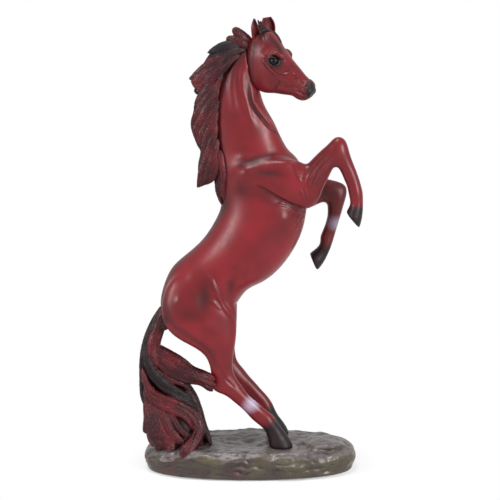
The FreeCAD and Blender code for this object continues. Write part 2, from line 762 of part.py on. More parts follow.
def peg(name, middle, direction, diameter_word, length_word, gap_word=""):
    """A straight round peg centred on a point, or with a gap word the hole that takes it."""
    made = doc.addObject("Part::Cylinder", name)
    gap = size(gap_word) if gap_word else 0
    extra = " + sizes." + gap_word if gap_word else ""
    made.setExpression("Radius", "sizes.%s / 2%s" % (diameter_word, extra))
    made.setExpression("Height", "sizes.%s%s%s" % (length_word, extra, extra))
    along = Vector(direction).normalize()
    foot = middle - along * (size(length_word) / 2 + gap)
    made.Placement = Placement(foot, Rotation(Vector(0, 0, 1), along))
    return made


def peg_and_hole(name, middle, direction, diameter_word="pin_diameter", length_word="pin_length"):
    """A peg under its own name, and its hole."""
    peg(name, middle, direction, diameter_word, length_word)
    return peg(name + "_hole", middle, direction, diameter_word, length_word, "glue_gap")


def seam_middle(shares, y, number):
    """The middle of one ring of a table."""
    back_x, back_z, front_x, front_z = shares[number][:4]
    return (place(back_x, y, back_z) + place(front_x, y, front_z)) * 0.5


rod_radius = "sizes.rod_diameter / 2"
rod_hole_radius = rod_radius + " + sizes.glue_gap"
rod_holes = {}
foreleg_holes = {}
for side, word, rod_shares, fore_shares in (
    (RIGHT, "right", right_rod_shares, right_foreleg_shares),
    (LEFT, "left", left_rod_shares, left_foreleg_shares),
):
    y = side * HIND_HALF_SPACING
    bent_rod(word + "_hind_rod", rod_shares, y, rod_radius)
    rod_holes[word] = bent_rod(word + "_rod_hole", rod_shares, y, rod_hole_radius)
    fore_y = side * FORE_HALF_SPACING
    elbow = seam_middle(fore_shares, fore_y, 0)
    forward = seam_middle(fore_shares, fore_y, 1) - elbow
    foreleg_holes[word] = peg_and_hole(word + "_foreleg_pin", elbow, forward)

neck_seam = seam_middle(neck_shares, 0, 0)
neck_rise = seam_middle(neck_shares, 0, 2) - seam_middle(torso_shares, 0, -1)
neck_hole = peg_and_hole("neck_dowel", neck_seam, neck_rise, "dowel_diameter", "dowel_length")
head_seam = place(head_pin_shares[0], 0, head_pin_shares[1])
head_rise = head_seam - seam_middle(neck_shares, 0, -3)
head_hole = peg_and_hole("head_pin", head_seam, head_rise)
tail_root = place(tail_root_pin_shares[0], 0, tail_root_pin_shares[1])
tail_drop = seam_middle(tail_shares, 0, 1) - seam_middle(torso_shares, 0, 1)
tail_root_hole = peg_and_hole("tail_root_pin", tail_root, tail_drop)
tail_foot = place(tail_foot_pin_share, 0, 0) + Vector(0, 0, size("mound_height"))
tail_foot_hole = peg_and_hole("tail_foot_pin", tail_foot, Vector(0, 0, 1))

# The pieces, each less what it gives way to.
cut("base_rock", rock_form, [rod_holes["right"], rod_holes["left"], tail_foot_hole])
cut("torso", torso_form, [*rod_holes.values(), *foreleg_holes.values(), neck_hole, tail_root_hole])
cut("neck", neck_form, [head_form, neck_hole, head_hole])
cut("head", head_form, [right_eye, left_eye, head_hole])
cut("right_ear", right_ear_form, [head_form, neck_form])
cut("left_ear", left_ear_form, [head_form, neck_form])
cut("forelock", forelock_form, [head_form, neck_form, right_ear_form, left_ear_form])
for word in ("right", "left"):
    cut(word + "_hind_leg", leg_forms[word + "_hind_leg"], [rod_holes[word]])
    cut(word + "_foreleg", leg_forms[word + "_foreleg"], [torso_form, foreleg_holes[word]])
cut("mane_crest", mane_crest_form, [head_form, neck_form, right_ear_form, left_ear_form])
cut("mane_fall", mane_fall_form, [neck_form, torso_form, mane_crest_form])
cut("mane_withers_lock", mane_withers_form, [neck_form, torso_form, mane_fall_form])
poll_lock_tools = [head_form, neck_form, mane_crest_form, right_ear_form, left_ear_form, forelock_form]
cut("mane_poll_lock", poll_lock_form, poll_lock_tools)
cut("tail", tail_form, [torso_form, rock_form, tail_root_hole, tail_foot_hole])
cut("tail_hock_lock", hock_lock_form, [tail_form, *leg_forms.values()])

NODES = (
    "base_rock",
    "base_felt",
    "torso",
    "neck",
    "head",
    "right_ear",
    "left_ear",
    "right_eye",
    "left_eye",
    "forelock",
    "mane_poll_lock",
    "mane_crest",
    "mane_fall",
    "mane_withers_lock",
    "right_foreleg",
    "left_foreleg",
    "right_hind_leg",
    "left_hind_leg",
    "tail",
    "tail_hock_lock",
    "right_hind_rod",
    "left_hind_rod",
    "right_foreleg_pin",
    "left_foreleg_pin",
    "neck_dowel",
    "head_pin",
    "tail_root_pin",
    "tail_foot_pin",
)
doc.recompute()
faults = [made.Name for made in doc.Objects if "Invalid" in made.State or "Error" in made.State]
if faults:
    raise RuntimeError("objects that failed: " + ", ".join(faults))
os.makedirs("parts", exist_ok=True)
for node in NODES:
    shape = doc.getObjectsByLabel(node)[0].Shape
    if shape.isNull() or not shape.isValid() or not shape.Solids:
        raise RuntimeError(node + " has no sound solid")
    shape.exportStep("parts/%s.step" % node)
    box = shape.BoundBox
    print("%-20s %d solid, %8.0f mm3, z %.1f to %.1f" % (
        node, len(shape.Solids), shape.Volume, box.ZMin, box.ZMax))
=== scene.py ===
"""Rearing horse statue: the finished model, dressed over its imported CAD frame.

The horse's skin is one carved form, cut at the casting seams into the pieces that the CAD names.
Hair is built lock by lock.  All lengths in the tables are millimetres, and points marked px are
places in the 500 px photograph, which the camera below repeats.
"""
import math
from contextlib import contextmanager

import bmesh
import bpy
import numpy as np
from bpy.props import FloatProperty, FloatVectorProperty, PointerProperty
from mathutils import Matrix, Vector, noise


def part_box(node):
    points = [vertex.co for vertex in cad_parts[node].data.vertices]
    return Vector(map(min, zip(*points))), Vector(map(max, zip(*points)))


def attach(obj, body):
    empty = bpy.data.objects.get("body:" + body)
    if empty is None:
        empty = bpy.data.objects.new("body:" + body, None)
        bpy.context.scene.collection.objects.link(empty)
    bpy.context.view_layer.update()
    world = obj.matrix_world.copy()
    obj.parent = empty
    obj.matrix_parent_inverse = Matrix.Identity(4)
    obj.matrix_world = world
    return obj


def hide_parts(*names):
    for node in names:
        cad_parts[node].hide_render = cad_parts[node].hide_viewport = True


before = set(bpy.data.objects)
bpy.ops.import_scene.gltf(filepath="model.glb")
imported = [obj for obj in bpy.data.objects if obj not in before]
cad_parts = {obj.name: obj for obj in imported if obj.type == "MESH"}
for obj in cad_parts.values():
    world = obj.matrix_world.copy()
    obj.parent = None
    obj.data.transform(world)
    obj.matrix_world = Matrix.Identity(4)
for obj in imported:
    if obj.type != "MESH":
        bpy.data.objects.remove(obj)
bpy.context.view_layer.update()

bl_info = {
    "name": "Rearing Horse Statue",
    "version": (1, 0, 0),
    "blender": (4, 5, 0),
    "location": "View3D > Sidebar > Statue",
    "description": "Carves, dresses and stages a rearing horse in painted cast resin",
    "category": "Object",
}

MM = 0.001
NEAR = -1.0  # the horse's right side, which faces the camera
FAR = 1.0

# The photograph's camera: how far off, how high, what height it looks at, and its focal length.
CAMERA_DISTANCE = 1500 * MM
CAMERA_RISE = math.radians(12.0)
CAMERA_TARGET_HEIGHT = 198.0 * MM
CAMERA_FOCAL_PX = 1719.3
PHOTO_MIDDLE_PX = 250.0
MM_PER_PX = 0.872  # on the statue's middle plane
CAMERA_CLIP = 20.0  # metres

BODY_NODES = ("torso", "neck", "right_foreleg", "left_foreleg", "right_hind_leg", "left_hind_leg")
INNER_NODES = ("right_hind_rod", "left_hind_rod", "right_foreleg_pin", "left_foreleg_pin", "neck_dowel")
STEEL_NODES = (*INNER_NODES[:4], "head_pin", "tail_root_pin", "tail_foot_pin")

# The body's rough blank, before its fine skin.
BLANK_GRAIN = 1.2 * MM
BLANK_ROUNDS = 70  # of relaxing
BODY_FACING = (0.05, 0.5)  # a normal's part towards its own side where marks begin and are full

# Bends, in grains, at which a valley begins to count and counts fully.
CREASE_BEND = (0.03, 0.12)  # valleys that are filled
VALLEY_BEND = (-0.01, 0.10)  # valleys that paint stays in
CREASE_SPREAD = 7  # how many grains beside a valley are smoothed with it
CREASE_GROWTH = 1.06  # of the weight at each of those grains

# Profiles of the carved marks; reaches are in widths of the mark, a swell's in its radii.
PATH_STEPS = 6  # steps of a mark's curve for each of its points
STROKE_FADE = (-0.03, 0.25)  # shares of the length over which an end fades in
LEDGE_REACH = 4.0
LEDGE_GAIN = 1.6  # a ledge then rises to 0.84 of its depth
MOAT_DEPTH = 0.3  # the shallow opposite mark on both sides of a ridge or a groove
MOAT_REACH = 2.6
SWELL_REACH = 0.75

# Locks of hair.
LOCK_STATIONS = 48
LOCK_SIDES = 24
LEAST_HALF_WIDTH = 0.15 * MM
LOCK_END_SHARE = 0.08  # share of the length that is rounded off at each end
LOCK_END_LEAST = 0.04  # least width at an end, squared, as a share
LOCK_EDGE_POWER = 0.85  # under 1, so that a section is a little squarer than an ellipse
LOCK_MARGIN = 0.6 * MM  # added to a half width where two locks compete for a place
LOCK_STEP = 37.0  # mm between the strands' places on one lock and the next
BLACK_ROUNDS = 14  # of spreading the black over the locks' edges
COMB_SWAY = (1.3, 9.0, 0.35)  # radians, mm along a lock to a radian, radians to a mm across it
COMB_HEIGHT = (0.55, 0.3, 6.0, 1.7)  # mean share, change, and then as for the sway
COMB_SECOND = (0.45, 0.37, 1.7)  # share, rate and phase of a second wave on the first
CORE_MARGIN = 1.2 * MM  # how far the core under the locks lies inside the casting

LID_THICKNESS = 0.9  # share of the half width
HEAD_FACING = (-0.05, 0.4)  # as for the body
MIDDLE_BLACK = 0.8  # share of the head's black where its skin faces neither side
EAR_GRAIN = 0.35 * MM
EAR_WALL = 1.3 * MM
EAR_WALL_SHARE = 0.75  # most of the half width that the wall takes up
EAR_STATIONS = 28
EAR_SIDES = 32
EAR_WRAP = 0.12  # how far past a half circle the back reaches, in half circles
EAR_BLACK_LENGTH = 7.0 * MM  # down from the tip
EAR_INSIDE = (0.0, 0.7)  # a normal's part towards the opening where black begins and is full
EAR_MOST_BLACK = 0.95

# The rock's relief: stretch, size in mm, octaves and seed of each noise, and heights in mm.
ROCK_BROAD = ((1.0, 1.3, 1.6), 42.0, 2, 3)
ROCK_LUMPS = ((1.0, 1.2, 1.8), 24.0, 3, 5)
ROCK_GRIT = ((1.0, 1.0, 1.0), 6.0, 3, 8)
BROAD_HEIGHT = 1.7
LUMPS_HEIGHT = 1.1
LUMPS_MEAN = 0.55
GRIT_HEIGHT = 0.1
TOP_RISE = 0.6  # where the rock faces up
ROCK_SINK = 0.9  # of the whole skin, so that it stays inside the casting's box
NOISE_STEPS = (7.31, 3.17, 5.93)  # from one seed to the next
NOISE_FALL = 0.9
NOISE_OCTAVE = 2.1  # how much finer each octave is
ROCK_ROUNDS = 60  # of relaxing in its creases
ROCK_TOP = (0.3, 0.8)  # a normal's upward part where the top begins and is full
HIGHLIGHT_TOP = (0.2, 0.85)  # the same for the grey painted highlight on the top
ROCK_SIDE = 0.35  # most that a normal may turn away from the near side where marks are carved
ROCK_FOOT = (0.5 * MM, 4.0 * MM)  # heights between which the relief begins
ROCK_SOLE = 0.4 * MM  # what is lower than this is pressed flat

FLOOR_RADIUS = 6.0  # metres
FLOOR_FADE = (0.04, 0.115)  # from the middle, in metres, where the floor turns to plain white
TENT_STRENGTH = 0.28
BLACK_DULLING = 0.16  # roughness that the black adds

# The head's own middle plane is turned from the statue's, about a point at the poll.
HEAD_TURN = math.radians(26.0)
HEAD_PIVOT = np.array([3.33, 0.0, 360.14]) * MM
# Lids and brow: points mm forward, up and out from the bead's middle, with half widths mm.
LIDS = (
    ((-4.9, -0.4, 0.6, 0.4), (-3.0, 2.2, 2.6, 0.7), (0.0, 3.3, 3.2, 0.9), (2.9, 2.1, 2.8, 0.7),
        (5.0, -1.2, 0.3, 0.4)),
    ((-4.9, -0.8, 0.5, 0.4), (-2.7, -3.0, 2.3, 0.6), (0.4, -3.7, 2.6, 0.7), (3.0, -3.1, 2.0, 0.6),
        (5.0, -1.5, 0.0, 0.4)),
    ((-5.0, 4.6, -2.0, 1.3), (-2.0, 6.0, -0.8, 2.1), (1.5, 6.1, -0.2, 2.4), (4.4, 4.8, -0.6, 2.3),
        (6.8, 2.4, -2.2, 1.8), (8.6, 0.0, -4.0, 1.1)),
)

# The casting seams.  A leg's seam runs along y and through two points (x, z) in mm; then come
# its side and its hoof's place px.
NECK_SEAM_HEIGHT = 285.3 * MM
NECK_BAND = 3.0 * MM  # how near the neck's seam a face is to be cut
SEAM_REACH = 32.0 * MM
LEG_GAP = 7.0 * MM  # half the gap between a pair of legs, near their seams
LEG_DEPTH = 18.0 * MM  # from the middle plane to a leg's middle
LEG_SEAMS = (
    ("right_hind_leg", (-40.96, 108.98), (-13.5, 113.5), NEAR, (282, 446)),
    ("left_hind_leg", (-40.96, 108.98), (-13.5, 113.5), FAR, (289, 435)),
    ("right_foreleg", (48.2, 276.3), (47.0, 237.6), NEAR, (356, 224)),
    ("left_foreleg", (47.2, 267.6), (46.6, 232.7), FAR, (318, 268)),
)

# Soft boxes: name, place, target, size and power in watts.
LAMPS = (
    ("left_softbox", (-1.5, -0.8, 0.7), (0.0, 0.0, 0.22), (0.36, 0.8), 16.5),
    ("right_softbox", (1.1, -1.2, 0.6), (0.0, 0.0, 0.22), (0.42, 0.75), 23.0),
    ("top_softbox", (-0.2, -0.3, 1.6), (0.0, 0.0, 0.2), (0.5, 0.5), 13.0),
)

# Ears: the node, the spine (px, px, depth mm, width mm), the way the cup opens, cup share, and how
# black the tip and the inside are.
EARS = (
    (
        "right_ear",
        ((257.2, 44, -4, 7.6), (255.8, 34, -7.5, 7.8), (254.8, 26, -9, 6.8), (254.3, 18.2, -9, 1.6)),
        (0.7, -0.7, 0.1),
        0.9,
        (1.0, 0.35),
    ),
    (
        "left_ear",
        ((268.4, 42, 6, 10), (268.2, 32, 5.5, 13.6), (267.8, 24, 5, 13.2), (267, 17.2, 5, 8.0)),
        (0.45, -0.89, 0.1),
        0.5,
        (0.15, 0.3),
    ),
)

# The marks on the body, the same on both sides.  Strokes are (kind, depth mm, width mm, path px)
# and swells (height mm, centre px, radii px, lean in degrees).  A ledge is raised on the
# right-hand side of the way that its path runs.
BODY_STROKES_PX = (
    # the crest and cords of the neck, and the groove behind the windpipe
    ("ridge", 1.3, 3.2, ((248, 46), (239, 57), (233, 70), (231.5, 86), (233.5, 104), (238, 122))),
    ("ridge", 1.3, 2.8, ((244, 62), (242, 76), (243, 90), (246, 102), (250, 116), (256, 130))),
    ("groove", 1.6, 1.1, ((249, 84), (249.8, 94), (251.5, 103), (256, 111), (262.5, 119.5), (271, 128.5),
        (280, 137))),
    ("ridge", 1.2, 1.4, ((252.5, 97), (255.5, 104), (260.5, 111.5), (267, 119.5), (275, 128))),
    # the shoulder's upper rim, under the neck
    ("ledge", 0.5, 1.8, ((268, 156), (282, 156.5), (294, 160))),
    # the point of the shoulder and the front edge of the upper arm
    ("ridge", 1.2, 1.5, ((290, 159), (295.5, 166), (299, 176), (300.5, 183))),
    ("ridge", 0.8, 1.0, ((300, 188), (303, 194), (305.5, 201))),
    ("ridge", 0.7, 0.9, ((304, 187), (307, 195), (308.5, 202))),
    ("groove", 0.6, 1.0, ((296, 178), (301, 178), (306, 180))),
    # the crease under the upper arm, and the folds of skin beneath it
    ("ledge", 1.4, 1.0, ((309, 209), (300, 206), (289, 202), (275, 194.5), (262, 187), (252, 183))),
    ("groove", 0.8, 0.9, ((306, 208), (298, 205.5), (289, 202), (275, 195), (260, 186))),
    ("ridge", 0.5, 1.0, ((240, 188), (248, 185.5), (257, 186))),
    ("ridge", 0.6, 0.9, ((263, 189.5), (267, 191), (271, 193.5))),
    ("ridge", 1.0, 1.1, ((273, 207.5), (279, 205), (286, 206), (294, 210.5), (299, 214))),
    ("ridge", 0.6, 0.8, ((278, 203.5), (285, 202.5), (291, 205.5))),
    ("ridge", 0.9, 0.8, ((297, 211), (299.5, 216), (296.5, 220), (298.5, 224), (295, 230))),
    ("ridge", 0.9, 0.8, ((302, 212), (304.5, 216), (301, 220), (303, 224))),
    ("ridge", 0.7, 0.7, ((300, 209), (305, 210.5), (307, 214))),
    # flank, stifle fold and thigh
    ("groove", 0.5, 0.9, ((231, 269.5), (235, 267.5), (240, 264.5))),
    ("ridge", 1.5, 1.5, ((208, 271), (212, 280), (215.5, 289), (219.5, 298), (224.5, 308), (231, 316),
        (235, 323))),
    ("ridge", 0.6, 1.3, ((209, 299.5), (215, 303.5), (219, 307.5), (223, 309))),
    ("groove", 0.8, 2.4, ((163, 302), (166, 312), (170, 320), (181, 331), (196, 341), (208, 350),
        (214, 359), (217.5, 369))),
    ("ledge", 0.5, 1.8, ((217.5, 369), (214, 359), (208, 350), (196, 341), (181, 331), (170, 320),
        (165, 308))),
    # hock
    ("groove", 0.6, 1.0, ((218, 362), (222, 372), (228, 381), (236, 389))),
    ("ridge", 0.35, 0.8, ((216, 377), (223, 381), (231, 388))),
    ("ridge", 0.35, 0.8, ((222, 374), (229, 380), (237, 388))),
    ("ridge", 0.3, 0.8, ((229, 370), (233, 379), (240, 389))),
)
BODY_SWELLS_PX = (
    (1.6, (245, 156.5), (10, 6), -10),  # the neck's last cord
    (1.9, (246, 172), (11, 9), 0),  # the withers' own muscle
    (-0.4, (252, 164), (15, 5), -8),  # hollow between the two
    (0.6, (247, 190), (9, 7), 0),
    (-1.3, (270, 174), (20, 5), 4),  # hollow under the shoulder blade's rim
    (0.8, (282, 164), (16, 5), 0),
    (1.0, (284, 188), (17, 7), 24),  # triceps
    (2.4, (283, 218), (14, 12), 0),  # behind the elbow
    (-0.9, (231, 289), (6, 14), 6),  # hollow before the stifle fold
    (-1.3, (204, 297), (10, 20), 6),  # hollow behind it
    (-0.5, (190, 317), (18, 10), 4),  # across the thigh
    (1.0, (189, 281), (9, 17), 22),  # point of the hip
    (0.9, (178.5, 301), (4, 6), 12),
    (0.8, (206, 326), (16, 8), 30),  # lower thigh
    (0.5, (225, 345), (7, 16), 0),  # gaskin
)
NEAR_STROKES_PX = (
    # hair carved on the near forearm
    ("ridge", 0.8, 0.7, ((331, 148), (324, 154), (316, 162), (308, 172))),
    ("ridge", 0.8, 0.7, ((333, 151), (326, 159), (318, 168), (311, 180), (307, 190))),
    ("ridge", 0.75, 0.65, ((329, 158), (322, 167), (316, 177), (312, 188))),
    ("ridge", 0.75, 0.65, ((331, 162), (325, 171), (319, 181), (314, 192))),
    ("ridge", 0.75, 0.65, ((322, 156), (314, 165), (307, 175), (304, 184))),
    ("ridge", 0.75, 0.65, ((308, 166), (306, 174), (303, 182))),
    ("groove", 0.75, 0.65, ((327, 153), (319, 162), (311, 172), (306, 182))),
    ("groove", 0.75, 0.65, ((331, 156), (323, 165), (316, 175), (310, 188))),
)

# Where the rough blank is smoothed until no edge is left: strength, centre px, radii px, lean.
BLANK_SOFT_PX = (
    (1.6, (233, 172), (14, 22), 0),
    (1.2, (262, 178), (26, 16), 0),
    (1.2, (200, 305), (26, 24), 0),
)

# The marks on the head, the same on both sides of its own middle plane.
HEAD_STROKES_PX = (
    # brow and lids
    ("ridge", 0.4, 0.8, ((268.5, 57.5), (270.8, 55), (274.5, 53.8), (278.5, 55), (281.5, 58),
        (282.3, 61.5))),
    ("groove", 0.4, 0.8, ((266.5, 56), (270, 51.8), (275, 50), (281, 51))),
    ("ridge", 0.4, 0.8, ((268, 61), (270, 64.5), (273.5, 67.2), (277.5, 67), (281, 64.5))),
    ("groove", 0.35, 0.8, ((267.5, 63.5), (270.5, 67.5), (275, 70), (280, 68.5))),
    # facial crest and the line under the lid
    ("ridge", 1.2, 0.9, ((262.5, 58.5), (264.5, 62.5), (268.8, 68.3), (273.8, 73), (278.5, 76.5))),
    ("ridge", 0.85, 0.8, ((272, 66.5), (275.6, 70.3), (280.6, 73.3), (285, 74.5), (289, 73.5))),
    ("groove", 0.6, 0.9, ((282, 70), (286, 72), (289.5, 70.5), (291, 67.5))),
    # veins and folds over the nose and lips
    ("ridge", 0.95, 0.8, ((291, 74.5), (294.5, 74.3), (298, 78), (301, 83), (303.5, 89))),
    ("ridge", 0.8, 0.7, ((292, 79), (296, 83), (300, 88.5), (302.5, 91.5))),
    ("groove", 0.5, 0.8, ((288, 78), (291.5, 83), (295, 87), (298, 89.5))),
    ("ridge", 0.5, 0.7, ((280.5, 77), (284, 76.5), (287.5, 78.5))),
    # mouth and chin
    ("groove", 0.6, 0.7, ((294.5, 89.5), (299, 92.3), (304, 94.2), (309, 95.6), (313.5, 95.8))),
    ("ridge", 0.6, 0.8, ((296, 92.2), (300, 94.6), (304.5, 96.3), (308, 97))),
    ("groove", 0.3, 0.8, ((295.5, 95.2), (299.5, 96.5), (303.5, 97.5))),
    # nostril rim
    ("ridge", 0.9, 0.75, ((304.2, 89), (303.4, 85.6), (304.6, 82.2), (307.2, 81), (309.5, 84), (309, 88),
        (306.3, 90))),
    # the jaw's round front corner
    ("groove", 0.8, 1.2, ((280, 80.5), (278.3, 84), (275.8, 87.5), (273.5, 91))),
    ("ledge", 0.5, 1.3, ((272.5, 92), (275.8, 87.5), (278.3, 84), (280, 80.5), (279, 77.5))),
    # hairs that lie over the forehead
    ("ridge", 0.4, 0.6, ((263.5, 32), (265.5, 38), (268.5, 43), (271, 48.5))),
    ("ridge", 0.4, 0.6, ((267, 34), (270, 39), (274, 44), (277.5, 50))),
    ("ridge", 0.35, 0.6, ((265, 33), (268, 39.5), (271.5, 44), (274, 48))),
    ("ridge", 0.3, 0.6, ((262, 34), (262.5, 39), (261.5, 44), (259.5, 49))),
)
HEAD_SWELLS_PX = (
    (0.9, (274.5, 52.8), (8.5, 3.2), 6),  # brow
    (0.7, (282.5, 55.5), (3.5, 4.0), 0),
    (0.5, (264.4, 57), (2.6, 2.4), 0),  # temple
    (-0.7, (265.5, 50.5), (5, 4), -30),  # hollow over the eye
    (-0.7, (286, 70), (5.5, 4), 40),  # hollow before the crest's end
    (0.4, (286.5, 82), (4.5, 3), 20),
    (-0.5, (287, 87), (7, 2.2), 8),  # bars of the jaw
    (1.0, (264, 76), (9, 12), -10),  # cheek
    (-0.6, (296, 80), (4, 5), 45),
    (-1.5, (306.4, 85.3), (1.7, 2.9), 12),  # nostril
    (0.5, (303, 98), (4.5, 2.5), 10),  # chin
    (0.4, (309.5, 92), (3.5, 3.5), 0),
)

# Black on both sides: paint on the back's edge, muzzle, eyes and forelock, and painted shade in the
# creases, hollows and grooves, under the mane and about the jaw.  Dots are (strength, centre px,
# radii px, lean) and bands (strength, width mm, path px).
BODY_BLACK_AND_SHADE_PX = (
    # black paint along the back's edge
    (0.8, 4.5, ((224, 204), (213, 221), (202, 236), (189, 248), (177, 259), (167, 273), (161, 290),
        (158, 306))),
    # painted shade on the neck under the mane's edge
    (0.7, 7.0, ((246, 52), (235, 62), (225, 77), (217, 95), (214, 115), (214, 135), (217, 155),
        (220, 175), (222, 200))),
    # painted shade in the hollows and creases of shoulder, arm, flank and thigh
    (0.55, (270, 174), (24, 7), 4),
    (0.6, 3.4, ((240, 164.5), (250, 162), (262, 158), (270, 156))),
    (0.3, (240, 188), (9, 9), 0),
    (0.3, (268, 199), (15, 6), 25),
    (0.6, (203.5, 300), (9, 22), 6),
    (0.4, (192, 316), (22, 10), 4),
    (0.45, (231, 288), (6, 16), 6),
    (0.35, 3.0, ((164, 308), (172, 322), (184, 333), (198, 343), (210, 353), (216, 366))),
    (0.6, (165, 320), (6, 8), 0),
    # painted shade in the throat's groove, under the jaw and behind it
    (0.85, 1.2, ((249, 84), (249.8, 94), (251.5, 103), (256, 111), (261, 117.5))),
    (0.5, 1.2, ((258, 113.5), (264, 121), (271, 128.5), (280, 137))),
    (0.5, (257, 95), (6, 5), 0),
    (0.35, 2.5, ((252, 50), (251, 66), (251, 82))),
)
HEAD_BLACK_AND_SHADE_PX = (
    (1.8, (316.5, 91), (14, 19), 14),
    (2.2, (274.9, 61.2), (9.4, 6.4), 20),
    (0.75, 2.2, ((259, 31), (266, 36), (272, 40), (277, 46), (281, 52))),
    (0.5, 1.6, ((262, 34), (264.5, 40), (268, 46))),
    # painted shade behind the cheek and under the jaw
    (0.6, 3.4, ((254, 44), (251.5, 55), (250.5, 68), (251, 82), (255, 89))),
    (0.4, 1.8, ((262, 92.5), (275, 92.5), (287, 94), (296, 98), (304, 100.5))),
    # black at the forelock's root
    (0.7, (260, 36), (5, 8), 0),
    # black in the nostril, and painted shade in two small hollows of the face
    (0.35, (292, 86), (3.5, 2.5), 30),
    (1.3, (306.4, 85.4), (2.6, 3.6), 12),
    (0.3, (291, 66), (4, 4), 0),
)
# Spots that go right round a leg: strength, centre px, depth mm, inner and outer reach mm.
LEG_BLACK_AND_SHADE_SPOTS = (
    # black hooves
    (0.98, (283, 449), -18, 24, 33),
    (0.98, (290, 440), 18, 34, 43),
    (0.98, (356, 222), -18, 13, 20),
    (0.98, (319, 266), 18, 15, 30),
    # painted shade over the far foreleg
    (0.5, (343, 188), 18, 4, 26),
    (0.45, (337, 215), 18, 6, 24),
)
LEG_FROST_SPOTS = (
    (0.85, (250.5, 403.5), -18, 1, 11),
    (0.8, (334.5, 222), 18, 1, 10),
)
ROCK_STROKES_PX = (
    ("ledge", 1.5, 1.6, ((241, 462), (230, 467), (212, 466), (196, 461), (184, 459))),
    ("ridge", 1.2, 1.6, ((233, 466), (238, 463), (243, 462.5), (249, 466))),
    ("groove", 1.3, 1.6, ((230, 474), (236, 472), (243, 474.5), (250, 473))),
    ("ridge", 0.9, 1.2, ((240, 476), (244.5, 473.5), (250, 470), (257, 467))),
    ("ledge", 1.4, 1.6, ((349, 456), (334, 463), (315, 467), (299, 467.5))),
    ("ridge", 1.1, 1.4, ((272, 466.5), (283, 467.5), (295, 466.5))),
    ("groove", 1.1, 2.2, ((253, 464), (266, 470), (284, 472), (300, 471))),
    ("groove", 1.0, 2.2, ((150, 462), (160, 467), (172, 466), (180, 463))),
    ("ledge", 0.9, 1.8, ((222, 447), (212, 444), (204, 441), (196, 440))),
    ("groove", 0.7, 3.0, ((209, 452), (225, 457), (242, 455), (258, 450))),
    ("groove", 0.7, 3.0, ((300, 446), (318, 452), (336, 450), (348, 447))),
    ("ledge", 0.8, 2.0, ((330, 474), (312, 477), (292, 476), (276, 474))),
)
# Level places on the rock: centre and reach, and the width of their edge, in mm.
HOOF_PADS = (((28.0, -18.0), 11.0), ((28.0, 18.0), 11.0))
HOOF_PAD_EDGE = 5.0

# Locks: thickness share, black share, and points from root to tip (px, px, depth mm, width mm).
POLL_LOCKS = (
    (0.75, 0.2, ((252, 45, -1, 8), (246, 39.5, -1, 9), (240, 34.5, -2, 9), (235.5, 30.5, -3, 7),
        (232.8, 28.2, -3, 3.4))),
    (0.8, 0.5, ((251, 43, 3, 6), (245, 38, 3, 7), (239.5, 33.5, 2, 6), (235, 29.5, 0, 2))),
    (0.7, 0.4, ((252, 50, -3, 7), (244, 44.5, -4, 8), (236, 41, -4, 8), (230, 38.8, -3, 6),
        (226, 39.2, -2, 2.4))),
)
CREST_LOCKS = (
    (0.6, 0.5, ((249, 47, 1, 8), (240, 43.5, 1, 8), (232, 40.5, 0, 6), (226, 40, 0, 2))),
    (0.5, 1.0, ((245, 47.5, -3, 7), (236, 46, -5, 9), (226, 46.4, -6, 9.5), (216, 49.8, -5, 7.5),
        (207, 53, -3, 1.6))),
    (0.5, 0.9, ((244, 45, -1, 5), (236, 43.4, -2, 6), (228, 43.4, -3, 6), (219.5, 45.6, -3, 1.4))),
    (0.45, 0.9, ((241, 51, -6, 6), (231, 51.5, -7, 8), (220, 53.4, -6, 7), (210.4, 57.4, -4, 1.4))),
    (0.6, 0.95, ((243, 51, 3, 8), (230, 50, 4, 9), (220, 51.4, 4, 7), (212, 54.5, 2, 3))),
    (0.42, 0.3, ((238, 53, -6, 7), (226, 57.5, -7, 9.5), (213, 63.5, -7, 9.5), (203, 70, -5.5, 8.5),
        (195, 76, -4, 6), (188.6, 79.6, -3, 1.6))),
    (0.42, 0.1, ((233, 56.5, -8, 6), (223, 63, -8.5, 8), (213, 70, -8, 9), (203, 76, -6.5, 8.5),
        (195, 81, -4.5, 6), (190.5, 81.5, -3.4, 1.6))),
    (0.42, 0.2, ((228, 62, -9, 6), (220, 70, -9.5, 8), (212, 77, -9, 9), (205, 82, -7, 7),
        (198, 84.6, -4.5, 1.6))),
    (0.5, 0.55, ((240, 52, 3, 10), (227, 57, 5, 12), (214, 63.5, 5, 10), (203, 71.5, 3, 8),
        (193, 79, -1, 3))),
    (0.5, 0.5, ((232, 60, 5, 9), (220, 69, 7, 13), (209, 77, 5, 12), (199, 83, 1, 4))),
    # the black of these two locks, where the mane meets the neck, is partly paint and partly painted
    # shade
    (0.5, 0.9, ((246, 49.5, -7, 4), (237, 51, -9, 5), (228, 56.5, -10, 5), (221, 64, -10, 2))),
    (0.5, 0.65, ((240, 54, -8, 4), (232, 60, -10, 5), (225, 68, -10.5, 5), (219, 77, -10, 2))),
)
